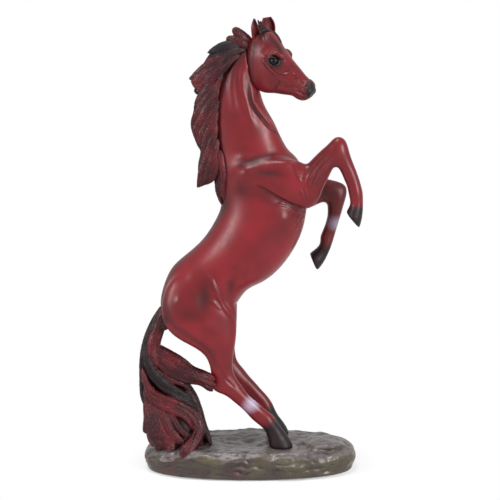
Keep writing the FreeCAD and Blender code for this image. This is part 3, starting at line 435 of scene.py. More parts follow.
FALL_LOCKS = (
    (0.8, 0.9, ((215, 82, -3, 8), (208, 86.5, -3, 7), (202.5, 90.5, -3, 5), (198.5, 93, -2.6, 3.2),
        (195.6, 91.6, -2.2, 2.6), (195.8, 88.8, -2, 2.4), (198.6, 88.6, -2, 2), (199, 90.6, -2, 1.2))),
    (0.45, 0.6, ((222, 73, -7, 8), (214, 83, -8, 10), (207, 92, -7.5, 11), (201, 101, -6, 10),
        (197.5, 111, -4, 7), (195.5, 119, -3, 2))),
    (0.42, 0.35, ((220, 79, -9, 6), (213.5, 90, -9, 9), (207, 101, -8.5, 10), (200.5, 111, -7, 10),
        (195.5, 120, -5, 7), (194.5, 129, -3.4, 2))),
    (0.42, 0.2, ((218, 88, -9.5, 6), (212.5, 101, -10, 8), (206.5, 113, -9.5, 10), (200.5, 124, -8, 10),
        (197.5, 134, -6, 8), (202, 145, -4.6, 2.4))),
    (0.42, 0.15, ((217, 98, -10, 6), (213, 112, -10.4, 8), (208, 125, -9.8, 9), (203, 137, -8, 9),
        (203, 148, -6, 4))),
    (0.45, 0.3, ((216, 108, -10, 6), (213, 122, -10.6, 8), (209, 135, -10, 9), (206.5, 147, -8.6, 9),
        (205, 158, -7, 7), (202.5, 167, -5.6, 2.4))),
    (0.5, 0.15, ((216.5, 122, -10, 5), (213.5, 136, -11, 7), (211, 149, -10, 9), (207.5, 161, -8.4, 10),
        (203, 173, -7, 9), (199.8, 182, -5.4, 5.5), (197, 188.2, -4, 1.4))),
    (0.5, 0.1, ((217.5, 138, -10, 5), (215, 151, -11, 7), (212.5, 162, -10.6, 8), (209, 172, -9, 8),
        (204, 180.5, -7, 6.5), (199, 187.6, -4.6, 1.4))),
    (0.5, 0.1, ((218.5, 152, -10, 4.5), (217, 163, -10.4, 6), (214.5, 172, -9.8, 7),
        (210.5, 179.5, -8.4, 6), (205.5, 184.6, -6, 1.4))),
    (0.7, 0.95, ((214, 86, 0, 12), (205, 101, 1, 13), (199, 115, 1, 11), (196.5, 126, 1, 10),
        (201, 141, 1, 9), (205, 151, 0, 8), (202, 166, 0, 7), (200, 180, -1, 3))),
    (0.6, 0.55, ((221, 78, 4, 10), (213, 95, 7, 13), (205, 111, 7, 12), (201, 126, 6, 11),
        (206, 143, 6, 10), (208, 156, 5, 9), (205, 170, 3, 4))),
    (0.6, 0.35, ((217, 104, 6, 8), (213, 120, 8, 11), (209, 136, 9, 12), (209, 152, 8, 11),
        (207, 168, 6, 9), (201, 181, 2, 3))),
    (0.5, 0.3, ((224, 69, -9.5, 3), (219, 81, -11, 4), (216.5, 94, -11.5, 4), (216, 108, -11, 1.6))),
)
WITHERS_LOCKS = (
    (0.75, 0.6, ((217, 146, -5, 7), (218, 160, -6, 8), (219, 175, -6, 7.5), (219.2, 191, -5, 6.5),
        (222.5, 206, -4, 2))),
    (0.7, 0.15, ((219.5, 150, -10, 5), (222, 163, -11, 6), (223.5, 176, -11, 6), (223.5, 190, -9, 5),
        (225, 203, -7, 2))),
    (0.7, 0.3, ((219, 160, -9, 4), (220.5, 172, -9, 5), (221, 184, -8, 5), (222, 197, -7, 2))),
    (0.8, 0.6, ((216, 145, 2, 7), (217, 165, 2, 8), (219, 185, 1, 7), (222, 200, 0, 2.5))),
)
FORELOCKS = (
    (0.7, 1.0, ((257.6, 19.4, -3, 1.2), (259.4, 24, -3.5, 2.2), (262, 28.5, -4, 2.8),
        (265.5, 33, -5, 3.4), (270, 37, -7, 1.6))),
    (0.7, 1.0, ((260.4, 20.5, -1, 1.2), (261.6, 25, -1.5, 2.2), (264, 29.5, -2.4, 3),
        (268, 34, -4, 1.8))),
    (0.6, 1.0, ((257.8, 24, -5, 1.4), (259, 29, -6, 2.6), (260.5, 34, -7, 3), (262.5, 39, -8.5, 1.4))),
    (0.36, 0.9, ((260.5, 29, -4, 3), (265, 32.4, -5, 4.4), (271, 36.6, -6.6, 5), (276.5, 42, -9, 4.4),
        (281, 49, -11.4, 1.4))),
    (0.4, 0.7, ((264, 28.5, -1, 3), (269, 31.6, -2, 4.6), (274.5, 35, -4, 5), (279, 41.5, -7, 4.4),
        (283.2, 51, -9.6, 1.4))),
    (0.5, 0.4, ((266, 30.5, 4, 4), (272, 33, 3, 5), (276.5, 38, 0, 4), (280.4, 45, -3, 1.6))),
)
TAIL_LOCKS = (
    # the dock, black along the back
    (1.0, 0.9, ((167.5, 303, -1, 6), (160, 315, -1, 9), (152.5, 330, -1, 10), (147, 347, -1, 10),
        (144.4, 362, -1, 9), (144.5, 378, -1, 9), (145.1, 394, -1, 9), (147.7, 408, -2, 6))),
    (0.7, 0.05, ((168, 303, -5, 7), (161.5, 318, -6, 8.5), (156, 333, -7, 9), (152.3, 346, -8, 9),
        (153.5, 357, -9.5, 8), (158.5, 367, -10.5, 4))),
    (0.9, 0.1, ((169, 307, -1, 7), (165, 318, -2, 8), (161, 329, -3, 7), (157.5, 341, -4, 6.5),
        (158, 352, -6, 4))),
    # joined to the buttock, above the gap
    (0.9, 0.35, ((171, 303, -4, 8), (168.5, 312, -5, 9), (166, 321, -6, 8.5), (163.5, 330, -7, 6))),
    (0.9, 0.35, ((173, 308, 2, 8), (170, 317, 1, 9), (167.5, 325, 0, 7))),
    (0.8, 0.35, ((167, 303, 4, 8), (160.5, 318, 5, 9), (154.5, 334, 6, 10), (150, 350, 6, 10),
        (150, 362, 7, 9), (155, 374, 7, 5))),
    (0.8, 0.5, ((152, 350, -3, 9), (155.5, 360, -4, 11), (160, 369, -5, 11), (167, 378, -5, 8))),
    # the black band that crosses the tail
    (0.7, 1.0, ((145.5, 345, -6, 5), (146.8, 358, -9.5, 7), (152, 370, -11.5, 7.5),
        (162, 381, -12.5, 7.5), (174, 389, -12.4, 7), (186, 396.5, -10.4, 6), (195.5, 406, -8, 3))),
    (0.7, 1.0, ((145, 358, -8, 4), (150, 373, -11, 5), (160, 385, -12.4, 6), (172, 393.5, -13, 6),
        (184, 400.5, -12, 6), (193, 406, -10.5, 5), (198, 414, -9, 2))),
    (0.8, 0.1, ((153, 366, -10, 3), (162, 374, -11.5, 4), (173, 380.5, -12, 4.5), (183, 384.5, -11, 4),
        (190, 391, -9, 2))),
    # the red bands that sweep round to the front of the foot
    (1.0, 0.05, ((142.5, 368, -8, 4.5), (146.5, 383, -10.5, 5.6), (154, 393, -13, 6),
        (166, 399, -14.6, 6), (179, 403.5, -14.8, 6), (190.5, 410, -13.8, 6), (198.5, 420, -12.6, 6.4),
        (200, 431, -16, 7.4), (196, 442, -23, 8.4), (189.5, 451, -29, 8), (182, 459.6, -33.5, 2.6))),
    (1.0, 0.1, ((144, 377, -9.5, 4), (149, 392, -12.5, 5), (158, 399.5, -14.6, 5.4),
        (170, 404.5, -15.6, 5.4), (182, 409.5, -15.6, 5.4), (191.5, 417, -14.8, 5.4),
        (196, 426, -14.6, 5.6), (195, 435, -17.5, 6.6), (189.5, 443.5, -24, 8), (184, 450, -30, 8),
        (180.4, 456.5, -34, 3))),
    (1.0, 0.05, ((145.5, 386, -9, 4), (151, 397.5, -12.5, 5.6), (161, 405.6, -15.6, 6.2),
        (173, 411, -17, 6.2), (183.5, 416.5, -17, 5.6), (190, 424, -16.4, 4.4), (192.5, 431, -16, 2))),
    (0.8, 0.6, ((150, 399, -11, 4), (160, 408.5, -14, 5), (170, 413.5, -15.5, 5), (179, 420, -15, 2))),
    # the right-hand edge down to the plinth
    (0.9, 0.6, ((168, 369, -1, 10), (180, 382, -1, 12), (189.5, 396, -1, 13), (195.8, 410, -2, 12),
        (200.3, 424, -3, 11), (205, 434, -4, 9), (211, 443.5, -6, 4))),
    (0.8, 0.9, ((202, 426, -8, 4), (205, 433, -10, 5), (208.5, 438.5, -12, 5), (210.5, 445, -14, 2.4))),
    # one broad form at the foot, and the lobes on it
    (0.6, 0.3, ((149, 396, -8, 10), (152, 411, -11, 16), (157, 425, -14, 21), (163.5, 437, -16.4, 23),
        (170.5, 446, -17.6, 15))),
    (0.75, 0.35, ((146.5, 388, -7, 7), (149, 401, -9.5, 9), (149.5, 413, -11, 9.5),
        (148.6, 424, -11.4, 10), (148, 433.6, -10.6, 9.6))),
    (0.7, 0.25, ((151, 396, -10, 6), (153, 409, -12.6, 8), (154.4, 422, -14.6, 9.5),
        (155.8, 433, -16.6, 11), (158.6, 441, -17.8, 12), (164, 449, -18.6, 10))),
    (0.7, 0.15, ((155, 400, -12, 5), (157.5, 412, -15, 7), (159.6, 423, -17.4, 8.6),
        (163, 433, -19.4, 10.4), (168.5, 441.6, -20.8, 11.4), (175, 447.6, -21.6, 8.6))),
    (0.75, 0.25, ((160, 403, -13.4, 4.6), (163, 414, -16.6, 6.6), (167, 424, -19, 8),
        (172, 432.6, -20.8, 9), (178, 439, -22.2, 9), (184, 443.4, -23.4, 5.4))),
    (0.85, 0.5, ((168, 409, -14.4, 4.4), (173, 418, -18, 5.6), (178.6, 426.6, -21, 6.4),
        (184.6, 433, -23.6, 6), (189, 437, -25, 3))),
    (0.9, 0.25, ((147.6, 396, -6, 6), (150, 410, -8, 8), (151.8, 424, -10, 9.5), (153, 436, -12, 11),
        (156.6, 446, -13, 9))),
    (0.75, 0.95, ((178, 413, -12, 8), (183.5, 426, -15, 10), (184.5, 438, -18, 10),
        (181.5, 450, -21, 8))),
    # the far side
    (0.75, 0.35, ((147, 352, 2, 8), (150, 368, 4, 10), (158, 383, 5.5, 11), (169, 396, 6, 11),
        (180, 408, 6, 11), (188, 422, 5.5, 10), (190, 440, 6, 8))),
    (0.75, 0.55, ((144, 372, 2, 8), (147.5, 390, 4, 10), (152.5, 408, 5.5, 11), (156.5, 426, 6.5, 12),
        (159, 441, 7.5, 10))),
    (0.75, 0.5, ((162, 372, 4, 9), (174, 388, 5, 11), (184, 404, 5, 12), (192, 420, 4, 11),
        (197, 436, 3, 7))),
    (0.75, 0.3, ((160, 392, 5, 9), (167, 408, 6, 11), (172, 424, 7.5, 12), (175, 439, 8.5, 10))),
)
HOCK_LOCKS = (
    (0.5, 0.05, ((153, 346.5, -8, 6), (162, 353, -9, 7.5), (174, 359.5, -11, 7.5), (186, 368, -12.4, 7.5),
        (197, 374, -16, 6.8), (206, 376.4, -22, 7.2), (215.5, 379.5, -27, 4.6))),
    (0.5, 0.1, ((153, 352, -9, 6), (163, 361, -10.5, 7), (175, 369, -12, 7.5), (188, 375, -13.4, 7),
        (199.5, 379.5, -16.6, 6.5), (207.6, 384, -22.6, 7), (213.2, 391, -27.4, 2.4))),
    (0.6, 0.05, ((158, 356, -10.4, 4), (170, 364, -12, 4.6), (183, 371.6, -13.4, 4.6),
        (196, 377, -16.4, 5), (205.4, 380.5, -22.6, 6), (215.8, 385.5, -28, 4.4))),
    (0.7, 0.2, ((155, 346, -4, 7), (169, 354.5, -5, 8.5), (181, 362, -6, 9), (192, 370, -7, 8),
        (204, 375, -13, 8), (216, 380.5, -20, 7))),
    (0.5, 0.3, ((153, 358, -9.5, 4), (164, 369, -11.5, 5.5), (176, 376.5, -12.5, 5.5),
        (188, 381, -13.4, 4.5), (198, 384, -15, 2))),
)

# Each hair node and its locks.
MANE = (
    ("mane_poll_lock", POLL_LOCKS),
    ("mane_crest", CREST_LOCKS),
    ("mane_fall", FALL_LOCKS),
    ("mane_withers_lock", WITHERS_LOCKS),
    ("forelock", FORELOCKS),
)
TAIL = (("tail", TAIL_LOCKS), ("tail_hock_lock", HOCK_LOCKS))


# Where a point of the statue falls in the photograph, and back.
CAMERA_BACK = np.array([0.0, -math.cos(CAMERA_RISE), math.sin(CAMERA_RISE)])
CAMERA_UP = np.array([0.0, math.sin(CAMERA_RISE), math.cos(CAMERA_RISE)])
CAMERA_PLACE = CAMERA_BACK * CAMERA_DISTANCE + np.array([0.0, 0.0, CAMERA_TARGET_HEIGHT])


def to_photo(points):
    """Pixel places of points of the statue."""
    away = points - CAMERA_PLACE
    depth = -(away @ CAMERA_BACK)
    across = PHOTO_MIDDLE_PX + away[:, 0] / depth * CAMERA_FOCAL_PX
    down = PHOTO_MIDDLE_PX - (away @ CAMERA_UP) / depth * CAMERA_FOCAL_PX
    return np.stack([across, down], axis=1)


def from_photo(px, py, y):
    """The point on the plane at depth y, in metres, that a pixel shows."""
    right = (px - PHOTO_MIDDLE_PX) / CAMERA_FOCAL_PX
    up = (PHOTO_MIDDLE_PX - py) / CAMERA_FOCAL_PX
    ray = np.array([right, 0.0, 0.0]) - CAMERA_BACK + up * CAMERA_UP
    reach = (y - CAMERA_PLACE[1]) / ray[1]
    return Vector(CAMERA_PLACE + ray * reach)


# Meshes as arrays.
def mesh_points(mesh):
    """The vertex places of a mesh, as an array."""
    places = np.empty(len(mesh.vertices) * 3)
    mesh.vertices.foreach_get("co", places)
    return places.reshape(-1, 3)


def mesh_normals(mesh):
    """The vertex normals of a mesh, as an array."""
    normals = np.empty(len(mesh.vertices) * 3)
    mesh.vertex_normals.foreach_get("vector", normals)
    return normals.reshape(-1, 3)


def mesh_edges(mesh):
    """The two ends of every edge of a mesh, as an array of indices."""
    ends = np.empty(len(mesh.edges) * 2, dtype=np.int64)
    mesh.edges.foreach_get("vertices", ends)
    return ends.reshape(-1, 2)


def set_points(mesh, places):
    """Moves the vertices of a mesh."""
    mesh.vertices.foreach_set("co", np.ascontiguousarray(places).ravel())
    mesh.update()


def set_layer(mesh, name, values):
    """Stores one number at each vertex, which a material reads by name."""
    layer = mesh.attributes.get(name) or mesh.attributes.new(name, "FLOAT", "POINT")
    layer.data.foreach_set("value", np.ascontiguousarray(values, dtype=np.float32))


def linked(name, data):
    """An object of the scene with that data."""
    made = bpy.data.objects.new(name, data)
    bpy.context.scene.collection.objects.link(made)
    return made


def new_object(name, mesh):
    """A linked object with that mesh, smooth shaded."""
    mesh.shade_smooth()
    return linked(name, mesh)


def drop(made):
    """Deletes a working object and its mesh."""
    mesh = made.data
    bpy.data.objects.remove(made)
    bpy.data.meshes.remove(mesh)


@contextmanager
def editing(mesh):
    """The mesh as a bmesh, which is written back at the end of the block."""
    form = bmesh.new()
    form.from_mesh(mesh)
    yield form
    form.to_mesh(mesh)
    form.free()


def triangulate_caps(form):
    """Splits every face with more than four corners into triangles."""
    bmesh.ops.triangulate(form, faces=[face for face in form.faces if len(face.verts) > 4])


def joined_mesh(name, meshes):
    """One mesh with the faces of them all."""
    form = bmesh.new()
    for mesh in meshes:
        form.from_mesh(mesh)
    joined = bpy.data.meshes.new(name)
    form.to_mesh(joined)
    form.free()
    return joined


def gathered_mesh(name, forms):
    """One mesh from forms that are each a list of vertices and a list of faces."""
    places, faces = [], []
    for form_places, form_faces in forms:
        start = len(places)
        places += form_places
        faces += [tuple(index + start for index in face) for face in form_faces]
    mesh = bpy.data.meshes.new(name)
    mesh.from_pydata(places, [], faces)
    return mesh


def tube_faces(stations, sides):
    """The faces of a capped tube, whose vertices are listed ring after ring."""
    faces = []
    last = (stations - 1) * sides
    for low in range(0, last, sides):
        high = low + sides
        for side in range(sides):
            after = (side + 1) % sides
            faces.append((low + side, low + after, high + after, high + side))
    faces.append(tuple(reversed(range(sides))))
    faces.append(tuple(range(last, last + sides)))
    return faces


def recast(mesh, grain):
    """The mesh as one closed skin of even faces about a grain wide, with nothing inside."""
    rough = new_object("recast", mesh)
    modifier = rough.modifiers.new("skin", "REMESH")
    modifier.mode = "VOXEL"
    modifier.voxel_size = grain
    modifier.use_smooth_shade = True
    graph = bpy.context.evaluated_depsgraph_get()
    skinned = bpy.data.meshes.new_from_object(rough.evaluated_get(graph), depsgraph=graph)
    drop(rough)
    return outer_shell(skinned)


def island_numbers(count, ends):
    """A number for each vertex that is shared by all the vertices it is joined to."""
    numbers = np.arange(count)
    while True:
        lowest = np.minimum(numbers[ends[:, 0]], numbers[ends[:, 1]])
        spread = numbers.copy()
        np.minimum.at(spread, ends[:, 0], lowest)
        np.minimum.at(spread, ends[:, 1], lowest)
        spread = spread[spread]
        if np.array_equal(spread, numbers):
            return numbers
        numbers = spread


def outer_shell(mesh):
    """The mesh with only its largest connected skin left."""
    numbers = island_numbers(len(mesh.vertices), mesh_edges(mesh))
    names, counts = np.unique(numbers, return_counts=True)
    if len(names) == 1:
        return mesh
    keep = names[np.argmax(counts)]
    with editing(mesh) as form:
        form.verts.ensure_lookup_table()
        inner = [form.verts[index] for index in np.nonzero(numbers != keep)[0]]
        bmesh.ops.delete(form, geom=inner, context="VERTS")
    return mesh


def relaxed(values, ends, rounds, amount):
    """Places or numbers of the vertices, moved towards the middle of their neighbours'.

    The amount is one number, or one for each vertex.
    """
    count = len(values)
    rows = values.reshape(count, -1)
    sides = np.bincount(ends.ravel(), minlength=count).clip(1)[:, None]
    amount = np.broadcast_to(np.asarray(amount, dtype=float), (count,))[:, None]
    for _ in range(rounds):
        pull = np.empty_like(rows)
        for axis in range(rows.shape[1]):
            total = np.bincount(ends[:, 0], rows[ends[:, 1], axis], count)
            total += np.bincount(ends[:, 1], rows[ends[:, 0], axis], count)
            pull[:, axis] = total
        rows = rows + (pull / sides - rows) * amount
    return rows.reshape(values.shape)


def relax_mesh(mesh, rounds, amount):
    """Moves the vertices of a mesh towards the middle of their neighbours."""
    set_points(mesh, relaxed(mesh_points(mesh), mesh_edges(mesh), rounds, amount))


def unit_rows(rows):
    """The rows of an array, each brought to length 1."""
    return rows / np.linalg.norm(rows, axis=1)[:, None]


def step_up(values, low, high):
    """0 below low, 1 above high, and a smooth rise between."""
    share = np.clip((values - low) / (high - low), 0.0, 1.0)
    return share * share * (3.0 - 2.0 * share)


def bump(distance, width):
    """A bell of height 1 that has died away at about twice the width."""
    return np.exp(-((distance / width) ** 2))


def path_distance(points, path):
    """Each point's distance to a polyline, how far along it lies from 0 to 1, and on which side.

    The side is +1 to the right of the way the path runs down a picture, and -1 to its left.
    """
    path = np.asarray(path, dtype=float)
    runs = np.linalg.norm(np.diff(path, axis=0), axis=1)
    starts = np.concatenate([[0.0], np.cumsum(runs)])
    nearest = np.full(len(points), np.inf)
    along = np.zeros(len(points))
    side = np.ones(len(points))
    for index, run in enumerate(runs):
        direction = (path[index + 1] - path[index]) / max(run, 1e-9)
        offset = points - path[index]
        travel = np.clip(offset @ direction, 0.0, run)
        gap = np.linalg.norm(offset - travel[:, None] * direction, axis=1)
        closer = gap < nearest
        nearest[closer] = gap[closer]
        along[closer] = (starts[index] + travel[closer]) / starts[-1]
        turn = direction[0] * offset[:, 1] - direction[1] * offset[:, 0]
        side[closer] = np.where(turn[closer] > 0.0, 1.0, -1.0)
    return nearest, along, side


def curve_through(points, steps):
    """A smooth open curve through given points, as an array of steps rows."""
    points = np.asarray(points, dtype=float)
    padded = np.vstack([2 * points[0] - points[1], points, 2 * points[-1] - points[-2]])
    at = np.linspace(0.0, len(points) - 1.0, steps)
    index = np.minimum(at.astype(int), len(points) - 2)
    share = (at - index)[:, None]
    before, start, end, after = (padded[index + offset] for offset in range(4))
    return 0.5 * (
        2 * start
        + (end - before) * share
        + (2 * before - 5 * start + 4 * end - after) * share**2
        + (3 * start - before - 3 * end + after) * share**3
    )


# Carving: marks given where the photograph shows them are pressed into the skin under them.
def bend_at(places, normals, ends, grain):
    """How far each vertex lies below the middle of its neighbours, in grains."""
    return ((relaxed(places, ends, 1, 1.0) - places) * normals).sum(axis=1) / grain


def softened_creases(mesh, rounds, grain):
    """The mesh's places, with a smooth hollow in each sharp valley where two forms meet."""
    places = mesh_points(mesh)
    ends = mesh_edges(mesh)
    weight = step_up(bend_at(places, mesh_normals(mesh), ends, grain), *CREASE_BEND)
    for _ in range(CREASE_SPREAD):
        weight = np.maximum(weight, relaxed(weight, ends, 1, 1.0) * CREASE_GROWTH)
    return relaxed(places, ends, rounds, 0.5 * np.clip(weight, 0.0, 1.0))


def hollow_share(mesh, grain, spread=1):
    """0 on ridges and flats, rising to 1 in valleys."""
    ends = mesh_edges(mesh)
    bend = bend_at(mesh_points(mesh), mesh_normals(mesh), ends, grain)
    return step_up(relaxed(bend, ends, spread, 0.5), *VALLEY_BEND)


def on_the_near_side(places, normals, low, high):
    """Places with the far side mirrored on to the near one, and a share for how they face.

    The share is 0 where a normal's part towards its own side is under low, and 1 above high.
    """
    side = np.where(places[:, 1] < 0.0, NEAR, FAR)
    mirrored = places.copy()
    mirrored[:, 1] = -np.abs(places[:, 1])
    return mirrored, step_up(normals[:, 1] * side, low, high)


def stroke_shape(px, kind, width, path):
    """The profile of one stroke at each pixel place, as a share of its depth."""
    distance, along, side = path_distance(px, curve_through(path, PATH_STEPS * len(path)))
    distance = distance * MM_PER_PX / width
    fade = step_up(np.minimum(along, 1.0 - along), *STROKE_FADE)
    if kind == "ledge":
        return fade * side * distance / (distance + 1.0) * bump(distance, LEDGE_REACH) * LEDGE_GAIN
    core = bump(distance, 1.0) - MOAT_DEPTH * bump(distance, MOAT_REACH)
    return fade * core * (1.0 if kind == "ridge" else -1.0)


def swell_shape(px, centre, radii, lean):
    """A smooth dome over an ellipse of the photograph, 1 at its middle."""
    turn = math.radians(lean)
    offset = px - np.asarray(centre, dtype=float)
    across = offset[:, 0] * math.cos(turn) + offset[:, 1] * math.sin(turn)
    down = offset[:, 1] * math.cos(turn) - offset[:, 0] * math.sin(turn)
    return bump(np.hypot(across / radii[0], down / radii[1]), SWELL_REACH)


def carved(places, normals, px, weight, strokes, swells):
    """The places after every stroke and swell of these tables."""
    shift = np.zeros(len(places))
    for kind, depth, width, path in strokes:
        shift += depth * MM * stroke_shape(px, kind, width, path)
    for height, centre, radii, lean in swells:
        shift += height * MM * swell_shape(px, centre, radii, lean)
    return places + normals * (shift * weight)[:, None]


def soft_mask(px, marks):
    """The strongest of several soft dots and bands, at each pixel place."""
    mask = np.zeros(len(px))
    for mark in marks:
        if len(mark) == 4:
            strength, centre, radii, lean = mark
            shape = swell_shape(px, centre, radii, lean)
        else:
            strength, width, path = mark
            distance = path_distance(px, curve_through(path, PATH_STEPS * len(path)))[0]
            shape = bump(distance * MM_PER_PX, width)
        mask = np.maximum(mask, strength * shape)
    return mask


# Hair: locks are closed tapered forms along curves, cast into one skin and then combed.
def placed_line(points, stations):
    """A line in metres through points (px, px, depth mm, width mm), and its half widths."""
    curve = curve_through(points, stations)
    line = np.array([from_photo(x, y, depth * MM) for x, y, depth in curve[:, :3]])
    return line, np.maximum(curve[:, 3] * MM / 2.0, LEAST_HALF_WIDTH)


def line_frame(line, outward=CAMERA_BACK):
    """Unit vectors across a line and square to outward, and through it towards outward."""
    ahead = unit_rows(np.gradient(line, axis=0))
    across = unit_rows(np.cross(ahead, outward))
    return across, np.cross(across, ahead)


def tapered_form(line, width, flat, outward=CAMERA_BACK):
    """The vertices and faces of a closed tapered form along a line, with its half widths."""
    across, through = line_frame(line, outward)
    turn = np.linspace(0.0, 2.0 * math.pi, LOCK_SIDES, endpoint=False)
    ends = np.minimum(np.linspace(0.0, 1.0, LOCK_STATIONS), np.linspace(1.0, 0.0, LOCK_STATIONS))
    inwards = (1.0 - ends / LOCK_END_SHARE).clip(0.0)
    width = width * np.sqrt(np.clip(1.0 - inwards**2, LOCK_END_LEAST, 1.0))
    cosine = np.sign(np.cos(turn)) * np.abs(np.cos(turn)) ** LOCK_EDGE_POWER
    ring = (
        line[:, None, :]
        + across[:, None, :] * (width[:, None] * cosine)[:, :, None]
        + through[:, None, :] * (width[:, None] * flat * np.sin(turn))[:, :, None]
    )
    places = [tuple(place) for place in ring.reshape(-1, 3)]
    return places, tube_faces(LOCK_STATIONS, LOCK_SIDES)


def nearest_stations(places, line):
    """The number of the line's nearest station to each place, and the distance to it."""
    gaps = np.full(len(places), np.inf)
    nearest = np.zeros(len(places), dtype=int)
    for station, point in enumerate(line):
        gap = np.linalg.norm(places - point, axis=1)
        closer = gap < gaps
        gaps[closer] = gap[closer]
        nearest[closer] = station
    return nearest, gaps


def combed(mesh, locks, depth, pitch):
    """Roughens the skin along the nearest lock, stores the strands' places and gives the black.

    The strands' places are in mm and the pitch is in metres.  The wave is therefore far finer
    than the faces, and leaves an irregular grain.  The hair lines that show are the paint's.
    """
    places = mesh_points(mesh)
    ends = mesh_edges(mesh)
    best = np.full(len(places), np.inf)
    strand = np.zeros(len(places))
    along = np.zeros(len(places))
    black = np.zeros(len(places))
    for number, (_, lock_black, points) in enumerate(locks):
        line, width = placed_line(points, LOCK_STATIONS)
        across, through = line_frame(line)
        nearest, gaps = nearest_stations(places, line)
        share = gaps / (width[nearest] + LOCK_MARGIN)
        offset = places - line[nearest]
        lateral = (offset * across[nearest]).sum(axis=1)
        deep = (offset * through[nearest]).sum(axis=1)
        spread = lateral / width[nearest] * width.max() + 0.5 * deep
        mine = share < best
        best[mine] = share[mine]
        strand[mine] = spread[mine] / MM + LOCK_STEP * number
        along[mine] = nearest[mine] * np.linalg.norm(line[-1] - line[0]) / LOCK_STATIONS / MM
        black[mine] = lock_black
    sway, run, turn = COMB_SWAY
    wave = strand / pitch * 2.0 * math.pi + sway * np.sin(along / run + strand * turn)
    mean, change, run, turn = COMB_HEIGHT
    ridge = np.sin(wave) * (mean + change * np.sin(along / run + strand * turn))
    second, rate, phase = COMB_SECOND
    ridge = ridge + np.sin(wave * rate + phase) * second
    places = places + mesh_normals(mesh) * (ridge * depth)[:, None]
    set_points(mesh, relaxed(places, ends, 1, 0.25))
    set_layer(mesh, "strand", strand)
    set_layer(mesh, "along", along)
    return relaxed(black, ends, BLACK_ROUNDS, 0.5)


def hair_piece(node, locks, grain, depth, pitch):
    """One combed hair piece: its locks, laid on a core a little inside the casting."""
    name = node + "_hair"
    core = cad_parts[node].data.copy()
    set_points(core, mesh_points(core) - mesh_normals(core) * CORE_MARGIN)
    forms = [tapered_form(*placed_line(points, LOCK_STATIONS), flat) for flat, _, points in locks]
    mesh = recast(joined_mesh(name, [core, gathered_mesh(name, forms)]), grain)
    relax_mesh(mesh, 3, 0.5)
    black = combed(mesh, locks, depth, pitch)
    # each lock's black paint; beside the neck it is partly painted shade
    set_layer(mesh, "airbrush", np.clip(black, 0.0, 1.0))
    set_layer(mesh, "groove", hollow_share(mesh, grain))
    mesh.name = name
    return new_object(name, mesh)


# The forms of the statue's pieces.
def turned_to_head(places, inwards):
    """Places turned between the statue's frame and the head's own, whose middle plane is y = 0."""
    turn = HEAD_TURN if inwards else -HEAD_TURN
    shifted = places - HEAD_PIVOT
    cosine, sine = math.cos(turn), math.sin(turn)
    turned = shifted.copy()
    turned[:, 0] = shifted[:, 0] * cosine - shifted[:, 1] * sine
    turned[:, 1] = shifted[:, 0] * sine + shifted[:, 1] * cosine
    return turned + HEAD_PIVOT


def lid_forms():
    """The mesh of both eyes' lids and brows."""
    forms = []
    for node, side in (("right_eye", NEAR), ("left_eye", FAR)):
        low, high = (np.array(corner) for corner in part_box(node))
        bead = turned_to_head(((low + high) / 2.0)[None, :], True)[0]
        outward = turned_to_head(np.array([[0.0, side, 0.0]]) + HEAD_PIVOT, False)[0] - HEAD_PIVOT
        for points in LIDS:
            forward, up, out, width = (curve_through(points, LOCK_STATIONS) * MM).T
            line = turned_to_head(bead + np.stack([forward, side * out, up], axis=1), False)
            forms.append(tapered_form(line, width, LID_THICKNESS, outward))
    return gathered_mesh("lids", forms)


def carve_head(grain):
    """The head, with its lids, crest, veins, nostrils and mouth."""
    mesh = recast(joined_mesh("head_skin", [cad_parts["head"].data.copy(), lid_forms()]), grain)
    ends = mesh_edges(mesh)
    places = relaxed(mesh_points(mesh), ends, 8, 0.5)
    set_points(mesh, places)
    own_normals = turned_to_head(mesh_normals(mesh) + HEAD_PIVOT, True) - HEAD_PIVOT
    mirrored, facing = on_the_near_side(turned_to_head(places, True), own_normals, *HEAD_FACING)
    px = to_photo(turned_to_head(mirrored, False))
    places = carved(places, mesh_normals(mesh), px, facing, HEAD_STROKES_PX, HEAD_SWELLS_PX)
    set_points(mesh, relaxed(places, ends, 1, 0.3))
    mesh.name = "head_skin"
    # black paint on muzzle, eyes and forelock, and painted shade about the jaw and in small hollows
    black = soft_mask(px, HEAD_BLACK_AND_SHADE_PX) * np.where(facing > 0.0, 1.0, MIDDLE_BLACK)
    set_layer(mesh, "airbrush", np.clip(black, 0.0, 1.0))
    set_layer(mesh, "groove", hollow_share(mesh, grain, 2))
    return new_object("head_skin", mesh)


def make_ear(name, points, opening, cup, black):
    """A cupped leaf along a spine, whose tip and inside are blackened by two shares."""
    opening = np.asarray(opening, dtype=float)
    line, width = placed_line(points, EAR_STATIONS)
    across, open_way = line_frame(line, opening)
    turn = np.linspace(-EAR_WRAP * math.pi, (1.0 + EAR_WRAP) * math.pi, EAR_SIDES // 2)
    back = np.stack([np.cos(turn), -np.sin(turn)], axis=1)
    wall = (EAR_WALL / width).clip(0.0, EAR_WALL_SHARE)
    places = []
    for station in range(EAR_STATIONS):
        inner = back[::-1] * (1.0 - wall[station])
        ring = np.vstack([back, inner]) * [width[station], width[station] * cup]
        for lateral, deep in ring:
            places.append(tuple(line[station] + across[station] * lateral + open_way[station] * deep))
    mesh = gathered_mesh(name, [(places, tube_faces(EAR_STATIONS, EAR_SIDES))])
    with editing(mesh) as form:
        triangulate_caps(form)
        bmesh.ops.recalc_face_normals(form, faces=form.faces)
    mesh = recast(mesh, EAR_GRAIN)
    relax_mesh(mesh, 4, 0.5)
    rise = step_up(mesh_points(mesh)[:, 2], line[-1][2] - EAR_BLACK_LENGTH, line[-1][2])
    inside = step_up(mesh_normals(mesh) @ opening, *EAR_INSIDE)
    set_layer(mesh, "airbrush", np.clip(black[0] * rise + black[1] * inside, 0.0, EAR_MOST_BLACK))
    set_layer(mesh, "groove", hollow_share(mesh, EAR_GRAIN, 2))
    mesh.name = name
    return new_object(name, mesh)


